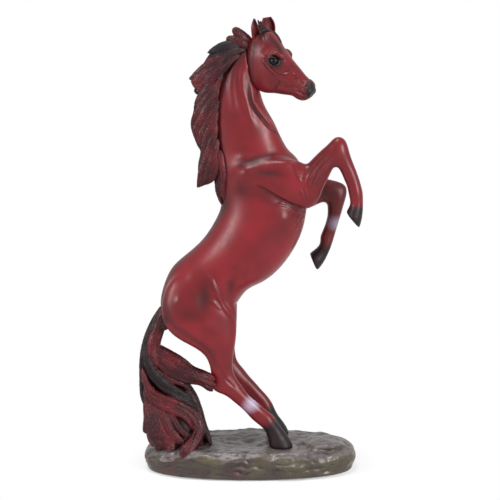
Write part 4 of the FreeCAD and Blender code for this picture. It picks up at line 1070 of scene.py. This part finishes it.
def noise_at(places, stretch, size, octaves, seed):
    """Fractal noise at each place, about -1 to 1, with features about size mm wide."""
    shift = Vector([seed * step for step in NOISE_STEPS])
    spots = [Vector(place) / (size * MM) + shift for place in places * stretch]
    return np.array([noise.fractal(spot, NOISE_FALL, NOISE_OCTAVE, octaves) for spot in spots])


def carve_plinth(grain):
    """The rock, with ledges, dents and a level place under each hoof."""
    low, high = (np.array(corner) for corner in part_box("base_rock"))
    mesh = recast(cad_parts["base_rock"].data.copy(), grain)
    places = relaxed(softened_creases(mesh, ROCK_ROUNDS, grain), mesh_edges(mesh), 5, 0.5)
    set_points(mesh, places)
    normals = mesh_normals(mesh)
    above = step_up(places[:, 2], low[2] + ROCK_FOOT[0], low[2] + ROCK_FOOT[1])
    upward = step_up(normals[:, 2], *ROCK_TOP)
    level = np.ones(len(places))
    for centre, reach in HOOF_PADS:
        gap = np.hypot(places[:, 0] - centre[0] * MM, places[:, 1] - centre[1] * MM)
        level = np.minimum(level, step_up(gap, reach * MM, (reach + HOOF_PAD_EDGE) * MM))
    level = np.where(upward > 0.02, level, 1.0)
    broad = noise_at(places, *ROCK_BROAD)
    lumps = 1.0 - 2.0 * np.abs(noise_at(places, *ROCK_LUMPS)).clip(0.0, 1.0)
    grit = noise_at(places, *ROCK_GRIT)
    shift = BROAD_HEIGHT * broad + LUMPS_HEIGHT * (lumps - LUMPS_MEAN) + GRIT_HEIGHT * grit
    shift = shift + TOP_RISE * upward - ROCK_SINK
    places = places + normals * (shift * MM * above * level)[:, None]
    near = (places[:, 1] < 0.0) & (normals[:, 1] < ROCK_SIDE)
    places = carved(places, normals, to_photo(places), near * level * above, ROCK_STROKES_PX, ())
    places = places.clip(low, high)
    places[places[:, 2] < low[2] + ROCK_SOLE, 2] = low[2]
    set_points(mesh, places)
    set_layer(mesh, "groove", hollow_share(mesh, grain, 3))
    # how far the rock faces up, for the painted highlight on its top
    set_layer(mesh, "upward", step_up(mesh_normals(mesh)[:, 2], *HIGHLIGHT_TOP))
    mesh.name = "rock_plinth"
    return new_object("rock_plinth", mesh)


def seam_normal(start, end):
    """The unit normal of a seam that runs along y and through two points of x and z."""
    run = Vector((end[0] - start[0], 0.0, end[1] - start[1]))
    return run.cross(Vector((0.0, 1.0, 0.0))).normalized()


def cut_plane(form, faces, point, normal):
    """Splits those faces where a plane crosses them."""
    geometry = set(faces)
    for face in faces:
        geometry.update(face.edges)
        geometry.update(face.verts)
    bmesh.ops.bisect_plane(form, geom=list(geometry), dist=1e-7, plane_co=point, plane_no=normal)


def cut_off(form, point, normal, side, hoof):
    """Cuts one leg off the skin along its seam plane, and gives back its faces."""
    in_side = [face for face in form.faces if face.calc_center_median().y * side > 0.0]
    reach = [face for face in in_side if (face.calc_center_median() - point).length < SEAM_REACH]
    cut_plane(form, reach, point, normal)
    form.faces.ensure_lookup_table()
    start = min(form.faces, key=lambda face: (face.calc_center_median() - hoof).length_squared)
    found = {start}
    front = [start]
    while front:
        face = front.pop()
        for edge in face.edges:
            for other in edge.link_faces:
                if other in found:
                    continue
                middle = other.calc_center_median()
                between_legs = abs(middle.y) < LEG_GAP and (middle - point).length < SEAM_REACH
                if (middle - point).dot(normal) < 0.0 or between_legs:
                    continue
                found.add(other)
                front.append(other)
    return found


def capped(mesh):
    """Closes the open ends of a mesh with flat caps."""
    with editing(mesh) as form:
        edges = [edge for edge in form.edges if edge.is_boundary]
        bmesh.ops.holes_fill(form, edges=edges, sides=0)
        triangulate_caps(form)


def leg_spots(places, spots):
    """The strongest of several spots round the legs, at each place."""
    mask = np.zeros(len(places))
    for strength, (px, py), depth, inner, outer in spots:
        centre = np.array(from_photo(px, py, depth * MM))
        gap = np.linalg.norm(places - centre, axis=1)
        same_side = places[:, 1] * depth > 0.0
        mask = np.maximum(mask, strength * same_side * (1.0 - step_up(gap, inner * MM, outer * MM)))
    return mask


def carve_body(grain):
    """One skin over trunk, neck and legs, carved, painted and smooth across every casting seam."""
    solids = [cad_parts[name].data for name in BODY_NODES + INNER_NODES]
    mesh = recast(joined_mesh("blank", solids), BLANK_GRAIN)
    places = softened_creases(mesh, BLANK_ROUNDS, BLANK_GRAIN)
    set_points(mesh, relaxed(places, mesh_edges(mesh), 3, 0.5))
    mirrored, facing = on_the_near_side(mesh_points(mesh), mesh_normals(mesh), *BODY_FACING)
    amount = 0.5 * np.clip(soft_mask(to_photo(mirrored), BLANK_SOFT_PX), 0.0, 1.0) * facing
    relax_mesh(mesh, BLANK_ROUNDS, amount)
    mesh = recast(mesh, grain)
    relax_mesh(mesh, 4, 0.5)
    places = mesh_points(mesh)
    normals = mesh_normals(mesh)
    mirrored, facing = on_the_near_side(places, normals, *BODY_FACING)
    px = to_photo(mirrored)
    places = carved(places, normals, px, facing, BODY_STROKES_PX, BODY_SWELLS_PX)
    places = carved(places, normals, px, facing * (places[:, 1] < 0.0), NEAR_STROKES_PX, ())
    set_points(mesh, relaxed(places, mesh_edges(mesh), 1, 0.4))
    # black paint, and painted shade in creases, hollows, under the mane and over the far foreleg
    black = np.maximum(soft_mask(px, BODY_BLACK_AND_SHADE_PX), leg_spots(places, LEG_BLACK_AND_SHADE_SPOTS))
    set_layer(mesh, "airbrush", np.clip(black, 0.0, 1.0))
    set_layer(mesh, "frost", leg_spots(places, LEG_FROST_SPOTS))
    set_layer(mesh, "groove", hollow_share(mesh, grain, 3))
    return mesh


def cut_at_seams(form):
    """Cuts the skin where the CAD's castings meet, and numbers each face by its casting."""
    labels = form.faces.layers.int.new("piece")
    for number, (_, start, end, side, hoof) in enumerate(LEG_SEAMS, 1):
        point = Vector(((start[0] + end[0]) / 2.0, side * LEG_DEPTH / MM, (start[1] + end[1]) / 2.0)) * MM
        normal = seam_normal(start, end)
        tip = from_photo(*hoof, side * LEG_DEPTH)
        if (tip - point).dot(normal) < 0.0:
            normal = -normal
        for face in cut_off(form, point, normal, side, tip):
            face[labels] = number
    rest = [face for face in form.faces if face[labels] == 0]
    band = [face for face in rest if abs(face.calc_center_median().z - NECK_SEAM_HEIGHT) < NECK_BAND]
    cut_plane(form, band, Vector((0.0, 0.0, NECK_SEAM_HEIGHT)), (0, 0, 1))
    for face in form.faces:
        if face[labels] == 0 and face.calc_center_median().z > NECK_SEAM_HEIGHT:
            face[labels] = len(LEG_SEAMS) + 1


def split_skin(mesh):
    """The skin as one piece for each casting, closed at its seams with flat caps."""
    with editing(mesh) as form:
        cut_at_seams(form)
    mesh.update()
    label = np.empty(len(mesh.polygons), dtype=np.int32)
    mesh.attributes["piece"].data.foreach_get("value", label)
    faces = [tuple(face.vertices) for face in mesh.polygons]
    places, normals = mesh_points(mesh), mesh_normals(mesh)
    layers = {name: np.empty(len(places), dtype=np.float32) for name in ("airbrush", "frost", "groove")}
    for name, values in layers.items():
        mesh.attributes[name].data.foreach_get("value", values)
    pieces = {}
    for number, name in enumerate(["torso", *(seam[0] for seam in LEG_SEAMS), "neck"]):
        chosen = [faces[index] for index in np.nonzero(label == number)[0]]
        used = np.unique(np.array([vertex for face in chosen for vertex in face]))
        renumber = np.full(len(places), -1)
        renumber[used] = np.arange(len(used))
        own_faces = [renumber[list(face)].tolist() for face in chosen]
        piece = bpy.data.meshes.new(name + "_skin")
        piece.from_pydata(places[used].tolist(), [], own_faces)
        capped(piece)
        for layer, values in layers.items():
            set_layer(piece, layer, values[used])
        pieces[name] = new_object(name + "_skin", piece)
        piece.normals_split_custom_set_from_vertices(normals[used].tolist())
    bpy.data.meshes.remove(mesh)
    return pieces


# Materials.
def paint(hex_colour):
    """A linear colour from an sRGB hex value such as "8A2226"."""
    parts = [int(hex_colour[place : place + 2], 16) / 255.0 for place in (0, 2, 4)]
    linear = [part / 12.92 if part <= 0.04045 else ((part + 0.055) / 1.055) ** 2.4 for part in parts]
    return (*linear, 1.0)


def add(tree, kind, inputs, output=None, **settings):
    """Adds a node and gives back that output, or the node where none is named.

    Each input is linked where its value is a socket, and set where it is a plain value.
    """
    node = tree.nodes.new("ShaderNode" + kind)
    for name, value in settings.items():
        setattr(node, name, value)
    for name, value in inputs.items():
        if isinstance(value, bpy.types.NodeSocket):
            tree.links.new(value, node.inputs[name])
        else:
            node.inputs[name].default_value = value
    return node if output is None else node.outputs[output]


def per_mm(size):
    """The pattern scale whose features are about that many millimetres wide."""
    return 1.0 / (size * MM)


def new_material(name):
    """An empty node material and its tree."""
    made = bpy.data.materials.new(name)
    made.use_nodes = True
    made.node_tree.nodes.clear()
    return made, made.node_tree


def shaded(tree, colour, coats, roughness, height, depth, **constants):
    """Ends a tree with its shader: a colour, the coats over it, roughness, relief and constants.

    A coat is the share that it covers and its own colour.  The relief's depth is in mm.
    """
    for share, coat in coats:
        colour = add(tree, "Mix", {0: share, 6: colour, 7: coat}, 2, data_type="RGBA")
    relief = {"Height": height, "Strength": 1.0, "Distance": depth * MM}
    inputs = {"Base Color": colour, "Roughness": roughness, "Normal": add(tree, "Bump", relief, "Normal")}
    inputs.update({name.replace("_", " "): value for name, value in constants.items()})
    shader = add(tree, "BsdfPrincipled", inputs, "BSDF")
    add(tree, "OutputMaterial", {"Surface": shader})


def satin_resin(name, colours):
    """Cold-cast polyester resin, airbrushed over a red base coat and sprayed with satin lacquer.

    The lacquer gives soft, wide highlights.  Faint clouds of a darker and a brighter red, black
    along the edges and hooves and a pale band round two cannons are airbrushed.  The same black is
    painted shade in creases and hollows, under the mane and jaw and over the far foreleg, and a
    thinned black in every valley is partly a wash and partly painted shade.  The black is dusted
    on last and dries a little duller.
    """
    made, tree = new_material(name)
    place = add(tree, "TexCoord", {}, "Object")
    cloud = add(tree, "TexNoise", {"Vector": place, "Scale": per_mm(34.0)}, "Fac")
    mist = add(tree, "TexNoise", {"Vector": place, "Scale": per_mm(4.0), "Detail": 4.0}, "Fac")
    peel = add(tree, "TexNoise", {"Vector": place, "Scale": per_mm(1.5)}, "Fac")
    bright = add(tree, "MapRange", {"Value": cloud, "From Min": 0.35, "From Max": 0.65}, "Result")
    dust = {"Value": mist, "From Min": 0.3, "From Max": 0.8, "To Max": 0.2}
    dust = add(tree, "MapRange", dust, "Result")
    # thinned black in every valley of the skin: partly a wash, partly painted shade
    groove = add(tree, "Attribute", {}, "Fac", attribute_name="groove")
    wiped = add(tree, "Math", {0: groove, 1: 0.6}, "Value", operation="MULTIPLY")
    frost = add(tree, "Attribute", {}, "Fac", attribute_name="frost")
    # black paint on edges, muzzle and hooves, and painted shade in creases, hollows and over the far
    # foreleg
    airbrush = add(tree, "Attribute", {}, "Fac", attribute_name="airbrush")
    speckle = {"Value": mist, "From Min": 0.3, "From Max": 0.7, "To Min": 0.88, "To Max": 1.06}
    speckle = add(tree, "MapRange", speckle, "Result")
    black = add(tree, "Math", {0: airbrush, 1: speckle}, "Value", operation="MULTIPLY", use_clamp=True)
    gloss = {"Value": mist, "From Min": 0.3, "From Max": 0.7, "To Min": 0.29, "To Max": 0.38}
    gloss = add(tree, "MapRange", gloss, "Result")
    gloss = add(tree, "Math", {0: black, 1: BLACK_DULLING, 2: gloss}, "Value", operation="MULTIPLY_ADD")
    coats = [
        (bright, colours.coat_bright),
        (dust, colours.coat_deep),
        (wiped, colours.wash_and_shade),
        (frost, colours.frost),
        (black, colours.black),
    ]
    shaded(tree, colours.coat_deep, coats, gloss, peel, 0.012, Specular_IOR_Level=0.28)
    return made


def wiped_hair(name, colours):
    """The same resin carved as hair, with thinned black wiped into the cuts and off the ridges.

    The hair lines are about 0.6 mm wide, follow each lock, and catch the light one by one.  The
    black in the cuts and valleys is partly that wash and partly painted shade, and the pinker
    ridges are partly rubbed paint and partly painted glints.
    """
    made, tree = new_material(name)
    place = add(tree, "TexCoord", {}, "Object")
    strand = add(tree, "Attribute", {}, "Fac", attribute_name="strand")
    along = add(tree, "Attribute", {}, "Fac", attribute_name="along")
    slow = add(tree, "Math", {0: along, 1: 0.07}, "Value", operation="MULTIPLY")
    lock = add(tree, "CombineXYZ", {"X": strand, "Y": slow}, "Vector")
    lines = add(tree, "TexNoise", {"Vector": lock, "Scale": 1.7, "Detail": 3.0}, "Fac")
    cloud = add(tree, "TexNoise", {"Vector": place, "Scale": per_mm(16.0)}, "Fac")
    bright = add(tree, "MapRange", {"Value": cloud, "From Min": 0.35, "From Max": 0.65}, "Result")
    # black in the cut lines, where the relief is low: partly a wash, partly painted shade
    cuts = {"Value": lines, "From Min": 0.36, "From Max": 0.55, "To Min": 0.6, "To Max": 0.0}
    cuts = add(tree, "MapRange", cuts, "Result")
    # pinker ridges on the raised hair lines: partly rubbed paint, partly painted glints
    rubbed_and_glint = {"Value": lines, "From Min": 0.58, "From Max": 0.72, "To Max": 0.45}
    rubbed_and_glint = add(tree, "MapRange", rubbed_and_glint, "Result")
    # thinned black in every valley of the hair: partly a wash, partly painted shade
    groove = add(tree, "Attribute", {}, "Fac", attribute_name="groove")
    wiped = add(tree, "Math", {0: groove, 1: 0.85}, "Value", operation="MULTIPLY")
    # the locks' black paint, partly painted shade beside the neck
    airbrush = add(tree, "Attribute", {}, "Fac", attribute_name="airbrush")
    streaks = {"Value": lines, "From Min": 0.3, "From Max": 0.7, "To Min": 1.05, "To Max": 0.8}
    streaks = add(tree, "MapRange", streaks, "Result")
    black = add(tree, "Math", {0: airbrush, 1: streaks}, "Value", operation="MULTIPLY", use_clamp=True)
    gloss = {"Value": lines, "From Min": 0.3, "From Max": 0.7, "To Min": 0.32, "To Max": 0.2}
    gloss = add(tree, "MapRange", gloss, "Result")
    gloss = add(tree, "Math", {0: black, 1: BLACK_DULLING, 2: gloss}, "Value", operation="MULTIPLY_ADD")
    coats = [
        (bright, colours.hair_bright),
        (cuts, colours.wash_and_shade),
        (rubbed_and_glint, colours.hair_rubbed_and_glint),
        (wiped, colours.wash_and_shade),
        (black, colours.black),
    ]
    shaded(tree, colours.hair_deep, coats, gloss, lines, 0.25, Specular_IOR_Level=0.24)
    return made


def painted_rock(name, colours):
    """Cast resin rock, painted dark, tinted olive and rust and dry-brushed grey on top.

    The dark base shows in the dents, where it is partly paint and partly painted shade.  A grey
    painted highlight, dabbed on like dry brushing, lies on what faces up.  The tints are soft
    patches two or three centimetres wide.  Satin lacquer lies over it all.
    """
    made, tree = new_material(name)
    place = add(tree, "TexCoord", {}, "Object")
    patch = add(tree, "TexNoise", {"Vector": place, "Scale": per_mm(26.0), "Detail": 3.0}, "Fac")
    tint = add(tree, "TexNoise", {"Vector": place, "Scale": per_mm(27.0)}, "Fac")
    brush = add(tree, "TexNoise", {"Vector": place, "Scale": per_mm(4.0), "Detail": 5.0}, "Fac")
    middle = add(tree, "MapRange", {"Value": patch, "From Min": 0.35, "From Max": 0.7}, "Result")
    olive = {"Value": tint, "From Min": 0.5, "From Max": 0.66, "To Max": 0.9}
    olive = add(tree, "MapRange", olive, "Result")
    rust = {"Value": tint, "From Min": 0.45, "From Max": 0.34, "To Max": 0.45}
    rust = add(tree, "MapRange", rust, "Result")
    # grey painted highlight on what faces up, dabbed on like dry brushing
    upward = add(tree, "Attribute", {}, "Fac", attribute_name="upward")
    dry = {"Value": brush, "From Min": 0.35, "From Max": 0.65, "To Min": 0.15, "To Max": 0.55}
    dry = add(tree, "MapRange", dry, "Result")
    pale = add(tree, "Math", {0: upward, 1: dry}, "Value", operation="MULTIPLY")
    # the dark base in every dent: partly paint left there, partly painted shade
    groove = add(tree, "Attribute", {}, "Fac", attribute_name="groove")
    dents = add(tree, "Math", {0: groove, 1: 0.85}, "Value", operation="MULTIPLY")
    gloss = {"Value": brush, "From Min": 0.3, "From Max": 0.7, "To Min": 0.3, "To Max": 0.4}
    gloss = add(tree, "MapRange", gloss, "Result")
    coats = [
        (middle, colours.rock_mid),
        (olive, colours.rock_olive),
        (rust, colours.rock_rust),
        (pale, colours.rock_top_highlight),
        (dents, colours.rock_dark),
    ]
    shaded(tree, colours.rock_dark, coats, gloss, brush, 0.07, Specular_IOR_Level=0.4)
    return made


def gloss_eye(name, colours):
    """Acrylic eye, black with a trace of brown, dipped in gloss lacquer: one hard glint."""
    made, tree = new_material(name)
    place = add(tree, "TexCoord", {}, "Object")
    fibres = add(tree, "TexNoise", {"Vector": place, "Scale": per_mm(0.9), "Detail": 4.0}, "Fac")
    brown = {"Value": fibres, "From Min": 0.45, "From Max": 0.7, "To Max": 0.25}
    brown = add(tree, "MapRange", brown, "Result")
    gloss = {"Value": fibres, "From Min": 0.3, "From Max": 0.7, "To Min": 0.05, "To Max": 0.09}
    gloss = add(tree, "MapRange", gloss, "Result")
    coats = [(brown, colours.iris)]
    shaded(tree, colours.black, coats, gloss, fibres, 0.002, Specular_IOR_Level=0.18)
    return made


def pressed_felt(name, colours):
    """Black pressed wool felt: a dead matt nap of fibres about 0.5 mm apart, with a little lint."""
    made, tree = new_material(name)
    place = add(tree, "TexCoord", {}, "Object")
    fibres = add(tree, "TexNoise", {"Vector": place, "Scale": per_mm(0.5), "Detail": 5.0}, "Fac")
    lint = add(tree, "MapRange", {"Value": fibres, "From Min": 0.4, "From Max": 0.75}, "Result")
    rough = add(tree, "MapRange", {"Value": fibres, "To Min": 0.85, "To Max": 1.0}, "Result")
    coats = [(lint, colours.felt_lint)]
    shaded(tree, colours.black, coats, rough, fibres, 0.15, Sheen_Weight=0.4, Specular_IOR_Level=0.1)
    return made


def drawn_steel(name, colours):
    """Bright drawn mild steel rod: a soft metal sheen with fine marks along the rod."""
    made, tree = new_material(name)
    place = add(tree, "TexCoord", {}, "Object")
    drawn = add(tree, "Mapping", {"Vector": place, "Scale": (1.0, 1.0, 0.06)}, "Vector")
    marks = add(tree, "TexNoise", {"Vector": drawn, "Scale": per_mm(0.3), "Detail": 3.0}, "Fac")
    bright = add(tree, "MapRange", {"Value": marks, "From Min": 0.35, "From Max": 0.65}, "Result")
    rough = add(tree, "MapRange", {"Value": marks, "To Min": 0.2, "To Max": 0.44}, "Result")
    shaded(tree, colours.steel_dark, [(bright, colours.steel)], rough, marks, 0.01, Metallic=1.0)
    return made


def turned_beech(name, colours):
    """Beech dowel, sanded and left bare: straight fine grain, with short darker flecks."""
    made, tree = new_material(name)
    place = add(tree, "TexCoord", {}, "Object")
    drawn = add(tree, "Mapping", {"Vector": place, "Scale": (1.0, 1.0, 0.08)}, "Vector")
    grain = add(tree, "TexNoise", {"Vector": drawn, "Scale": per_mm(0.6), "Detail": 4.0}, "Fac")
    pale = add(tree, "MapRange", {"Value": grain, "From Min": 0.35, "From Max": 0.65}, "Result")
    rough = add(tree, "MapRange", {"Value": grain, "To Min": 0.5, "To Max": 0.8}, "Result")
    shaded(tree, colours.beech_dark, [(pale, colours.beech)], rough, grain, 0.05)
    return made


def seen_directly(tree):
    """1 for what the camera sees, also mirrored in a surface or through it, and 0 for light."""
    path = add(tree, "LightPath", {})
    mirrored = {0: path.outputs["Is Camera Ray"], 1: path.outputs["Is Glossy Ray"]}
    mirrored = add(tree, "Math", mirrored, "Value", operation="MAXIMUM")
    through = {0: mirrored, 1: path.outputs["Is Transmission Ray"]}
    return add(tree, "Math", through, "Value", operation="MAXIMUM")


def white_laminate(name):
    """Matt white laminate floor, which turns to plain white for the camera further off."""
    made, tree = new_material(name)
    place = add(tree, "TexCoord", {}, "Object")
    laminate = {"Base Color": paint("F6F6F6"), "Roughness": 0.9, "Specular IOR Level": 0.1}
    laminate = add(tree, "BsdfPrincipled", laminate, "BSDF")
    white = add(tree, "Emission", {"Color": paint("FFFFFF"), "Strength": 1.0}, "Emission")
    distance = add(tree, "VectorMath", {0: place}, "Value", operation="LENGTH")
    fade = {"Value": distance, "From Min": FLOOR_FADE[0], "From Max": FLOOR_FADE[1]}
    far = add(tree, "MapRange", fade, "Result")
    share = add(tree, "Math", {0: far, 1: seen_directly(tree)}, "Value", operation="MULTIPLY")
    both = add(tree, "MixShader", {0: share, 1: laminate, 2: white}, "Shader")
    add(tree, "OutputMaterial", {"Surface": both})
    return made


FINISHES = {
    # the coat and leg paints also carry painted shade in creases, hollows and valleys
    "coat_paint": (satin_resin, "Polyresin, cast and airbrushed, satin lacquer"),
    "leg_paint": (satin_resin, "Polyresin, cast and faded to black at the hooves, satin lacquer"),
    # the hair's black in cuts and valleys is partly painted shade, its pink ridges partly painted glints
    "hair_paint": (wiped_hair, "Polyresin, carved hair wiped with black, satin lacquer"),
    "eye_lacquer": (gloss_eye, "Acrylic, dipped in gloss black lacquer"),
    # the rock's grey top is a painted highlight, and its dark dents partly painted shade
    "plinth_paint": (painted_rock, "Polyresin, cast rock, dry-brushed"),
    "felt": (pressed_felt, "Wool felt, pressed, black"),
    "steel_rod": (drawn_steel, "Mild steel, drawn bright"),
    "dowel_wood": (turned_beech, "Beech, turned and sanded"),
}


def dress(piece, slot, nodes=()):
    """Gives a piece the finish of a slot; where it stands for nodes, hangs it on the root body and hides
    them.
    """
    maker, name = FINISHES[slot]
    finish = bpy.data.materials.get(name) or maker(name, bpy.context.scene.statue_colours)
    piece.data.materials.clear()
    piece.data.materials.append(finish)
    if nodes:
        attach(piece, "root")
        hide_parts(*nodes)


def dress_hair(hair, depth):
    """Builds, combs and finishes the hair of several nodes."""
    sizes = bpy.context.scene.statue_sizes
    for node, locks in hair:
        piece = hair_piece(node, locks, sizes.hair_grain, depth, sizes.comb_pitch)
        dress(piece, "hair_paint", [node])


# The camera, the floor and the lamps.
def make_camera():
    """The photograph's camera."""
    data = bpy.data.cameras.new("photo_camera")
    data.sensor_fit = "HORIZONTAL"
    data.angle = 2.0 * math.atan(PHOTO_MIDDLE_PX / CAMERA_FOCAL_PX)
    data.clip_end = CAMERA_CLIP
    camera = linked("photo_camera", data)
    camera.location = CAMERA_PLACE
    camera.rotation_euler = (math.pi / 2.0 - CAMERA_RISE, 0.0, 0.0)
    bpy.context.scene.camera = camera


def make_lamp(name, place, target, size, power):
    """A soft box lamp that faces a target."""
    data = bpy.data.lights.new(name, "AREA")
    data.shape = "RECTANGLE"
    data.size, data.size_y = size
    data.energy = power
    lamp = linked(name, data)
    lamp.location = place
    lamp.rotation_euler = (Vector(target) - Vector(place)).to_track_quat("-Z", "Y").to_euler()


def make_world(strength):
    """Even white light, as in a light tent, and a white background."""
    world = bpy.data.worlds.new("light_tent")
    world.use_nodes = True
    tree = world.node_tree
    tree.nodes.clear()
    light = {"Value": seen_directly(tree), "To Min": strength, "To Max": 1.0}
    light = add(tree, "MapRange", light, "Result")
    background = add(tree, "Background", {"Color": paint("FFFFFF"), "Strength": light}, "Background")
    add(tree, "OutputWorld", {"Surface": background})
    bpy.context.scene.world = world


def make_floor():
    """A pale floor that keeps the statue's soft shadow."""
    form = bmesh.new()
    bmesh.ops.create_circle(form, cap_ends=True, segments=96, radius=FLOOR_RADIUS)
    mesh = bpy.data.meshes.new("floor")
    form.to_mesh(mesh)
    form.free()
    mesh.materials.append(white_laminate("Laminate, matt white"))
    new_object("floor", mesh)


# The add-on: sizes and colours to change, an operator for each group of pieces, and a panel.
def length_property(name, description, default):
    """A length in metres that a user may change."""
    return FloatProperty(name=name, description=description, default=default, min=1e-5, unit="LENGTH")


def colour_property(name, description, hex_colour):
    """A colour that a user may change."""
    limits = {"size": 4, "min": 0.0, "max": 1.0, "subtype": "COLOR"}
    return FloatVectorProperty(name=name, description=description, default=paint(hex_colour), **limits)


class StatueSizes(bpy.types.PropertyGroup):
    """How finely the statue is carved."""

    skin_grain: length_property("Skin grain", "Width of the faces of the body's skin", 0.78 * MM)
    head_grain: length_property("Head grain", "Width of the faces of the head", 0.42 * MM)
    hair_grain: length_property("Hair grain", "Width of the faces of mane and tail", 0.42 * MM)
    rock_grain: length_property("Rock grain", "Width of the faces of the plinth", 0.8 * MM)
    mane_comb: length_property("Mane comb depth", "Depth of the combed grain in the mane", 0.32 * MM)
    tail_comb: length_property("Tail comb depth", "Depth of the combed grain in the tail", 0.36 * MM)
    comb_pitch: length_property("Comb pitch", "Pitch of the wave behind the combed grain", 1.5 * MM)


class StatueColours(bpy.types.PropertyGroup):
    """The statue's paints."""

    coat_deep: colour_property("Deep coat", "Darker red of the coat", "5C1318")
    coat_bright: colour_property("Bright coat", "Brighter red of the coat", "761920")
    hair_deep: colour_property("Deep hair", "Darker red of mane and tail", "440E15")
    hair_bright: colour_property("Bright hair", "Brighter red of mane and tail", "701A22")
    # pinker ridges: partly rubbed paint, partly painted glints
    hair_rubbed_and_glint: colour_property("Rubbed hair", "Pinker ridges where the black was wiped off", "9A4450")
    # thinned black in cuts and valleys: partly a wash, partly painted shade
    wash_and_shade: colour_property("Wiped black", "Thinned black left in the cuts", "17080B")
    black: colour_property("Black", "Airbrushed black of hooves, muzzle and edges", "070609")
    frost: colour_property("Frost", "Pale lilac bands on two cannons", "BDB6D0")
    iris: colour_property("Iris", "Trace of brown in the eyes", "24160F")
    rock_dark: colour_property("Dark rock", "Paint left in the rock's dents", "2A231F")
    rock_mid: colour_property("Middle rock", "Grey-brown of the rock", "52473F")
    # grey painted highlight on the rock's top
    rock_top_highlight: colour_property("Pale rock", "Dry-brushed grey on top of the rock", "7C7479")
    rock_olive: colour_property("Olive tint", "Olive patches on the rock", "46412A")
    rock_rust: colour_property("Rust tint", "Reddish patches on the rock", "5E3A36")
    felt_lint: colour_property("Felt lint", "Paler fibres of the felt", "2B2B2E")
    steel: colour_property("Steel", "Bright drawn steel", "B4B4B8")
    steel_dark: colour_property("Steel marks", "Drawing marks along the rods", "85858A")
    beech: colour_property("Beech", "Pale wood of the dowel", "C9A77C")
    beech_dark: colour_property("Beech grain", "Darker grain of the dowel", "A98154")


class STATUE_OT_body(bpy.types.Operator):
    """Carves trunk, neck and legs as one skin and cuts it at the casting seams."""

    bl_idname = "statue.body"
    bl_label = "Carve the Body"

    def execute(self, context):
        skin = carve_body(context.scene.statue_sizes.skin_grain)
        for node, piece in split_skin(skin).items():
            dress(piece, "leg_paint" if "leg" in node else "coat_paint", [node])
        return {"FINISHED"}


class STATUE_OT_head(bpy.types.Operator):
    """Carves the head and both ears, and paints the eyes."""

    bl_idname = "statue.head"
    bl_label = "Carve the Head"

    def execute(self, context):
        dress(carve_head(context.scene.statue_sizes.head_grain), "coat_paint", ["head"])
        for node, *shape in EARS:
            dress(make_ear(node + "_leaf", *shape), "coat_paint", [node])
        for node in ("right_eye", "left_eye"):
            dress(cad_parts[node], "eye_lacquer")
        return {"FINISHED"}


class STATUE_OT_mane(bpy.types.Operator):
    """Builds and combs the mane and the forelock."""

    bl_idname = "statue.mane"
    bl_label = "Comb the Mane"

    def execute(self, context):
        dress_hair(MANE, context.scene.statue_sizes.mane_comb)
        return {"FINISHED"}


class STATUE_OT_tail(bpy.types.Operator):
    """Builds and combs the tail and the lock that sweeps to the hock."""

    bl_idname = "statue.tail"
    bl_label = "Comb the Tail"

    def execute(self, context):
        dress_hair(TAIL, context.scene.statue_sizes.tail_comb)
        return {"FINISHED"}


class STATUE_OT_plinth(bpy.types.Operator):
    """Carves the rock plinth and finishes the felt under it."""

    bl_idname = "statue.plinth"
    bl_label = "Carve the Plinth"

    def execute(self, context):
        dress(carve_plinth(context.scene.statue_sizes.rock_grain), "plinth_paint", ["base_rock"])
        dress(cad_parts["base_felt"], "felt")
        return {"FINISHED"}


class STATUE_OT_rods(bpy.types.Operator):
    """Finishes the rods, pins and dowel inside the castings."""

    bl_idname = "statue.rods"
    bl_label = "Finish Rods, Pins and Dowel"

    def execute(self, context):
        for node in STEEL_NODES:
            dress(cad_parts[node], "steel_rod")
        dress(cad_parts["neck_dowel"], "dowel_wood")
        return {"FINISHED"}


class STATUE_OT_stage(bpy.types.Operator):
    """Sets up the floor, the lamps, the light tent and the photograph's camera."""

    bl_idname = "statue.stage"
    bl_label = "Set the Stage"

    def execute(self, context):
        make_floor()
        make_world(TENT_STRENGTH)
        for lamp in LAMPS:
            make_lamp(*lamp)
        make_camera()
        context.scene.view_settings.view_transform = "Standard"
        return {"FINISHED"}


OPERATORS = (
    STATUE_OT_body,
    STATUE_OT_head,
    STATUE_OT_mane,
    STATUE_OT_tail,
    STATUE_OT_plinth,
    STATUE_OT_rods,
    STATUE_OT_stage,
)


class STATUE_PT_panel(bpy.types.Panel):
    """Lists the statue's operators, sizes and colours."""

    bl_idname = "STATUE_PT_panel"
    bl_label = "Rearing Horse Statue"
    bl_space_type = "VIEW_3D"
    bl_region_type = "UI"
    bl_category = "Statue"

    def draw(self, context):
        for operator in OPERATORS:
            self.layout.operator(operator.bl_idname)
        for group in (context.scene.statue_sizes, context.scene.statue_colours):
            box = self.layout.box()
            for name in group.bl_rna.properties.keys():
                if name not in ("rna_type", "name"):
                    box.prop(group, name)


CLASSES = (StatueSizes, StatueColours, *OPERATORS, STATUE_PT_panel)


def register():
    """Registers the classes and their settings."""
    for made in CLASSES:
        bpy.utils.register_class(made)
    bpy.types.Scene.statue_sizes = PointerProperty(type=StatueSizes)
    bpy.types.Scene.statue_colours = PointerProperty(type=StatueColours)


def unregister():
    """Undoes register."""
    del bpy.types.Scene.statue_colours
    del bpy.types.Scene.statue_sizes
    for made in reversed(CLASSES):
        bpy.utils.unregister_class(made)


def main():
    """Makes the statue and its stage."""
    register()
    for operator in OPERATORS:
        group, name = operator.bl_idname.split(".")
        getattr(getattr(bpy.ops, group), name)()


if __name__ == "__main__":
    main()
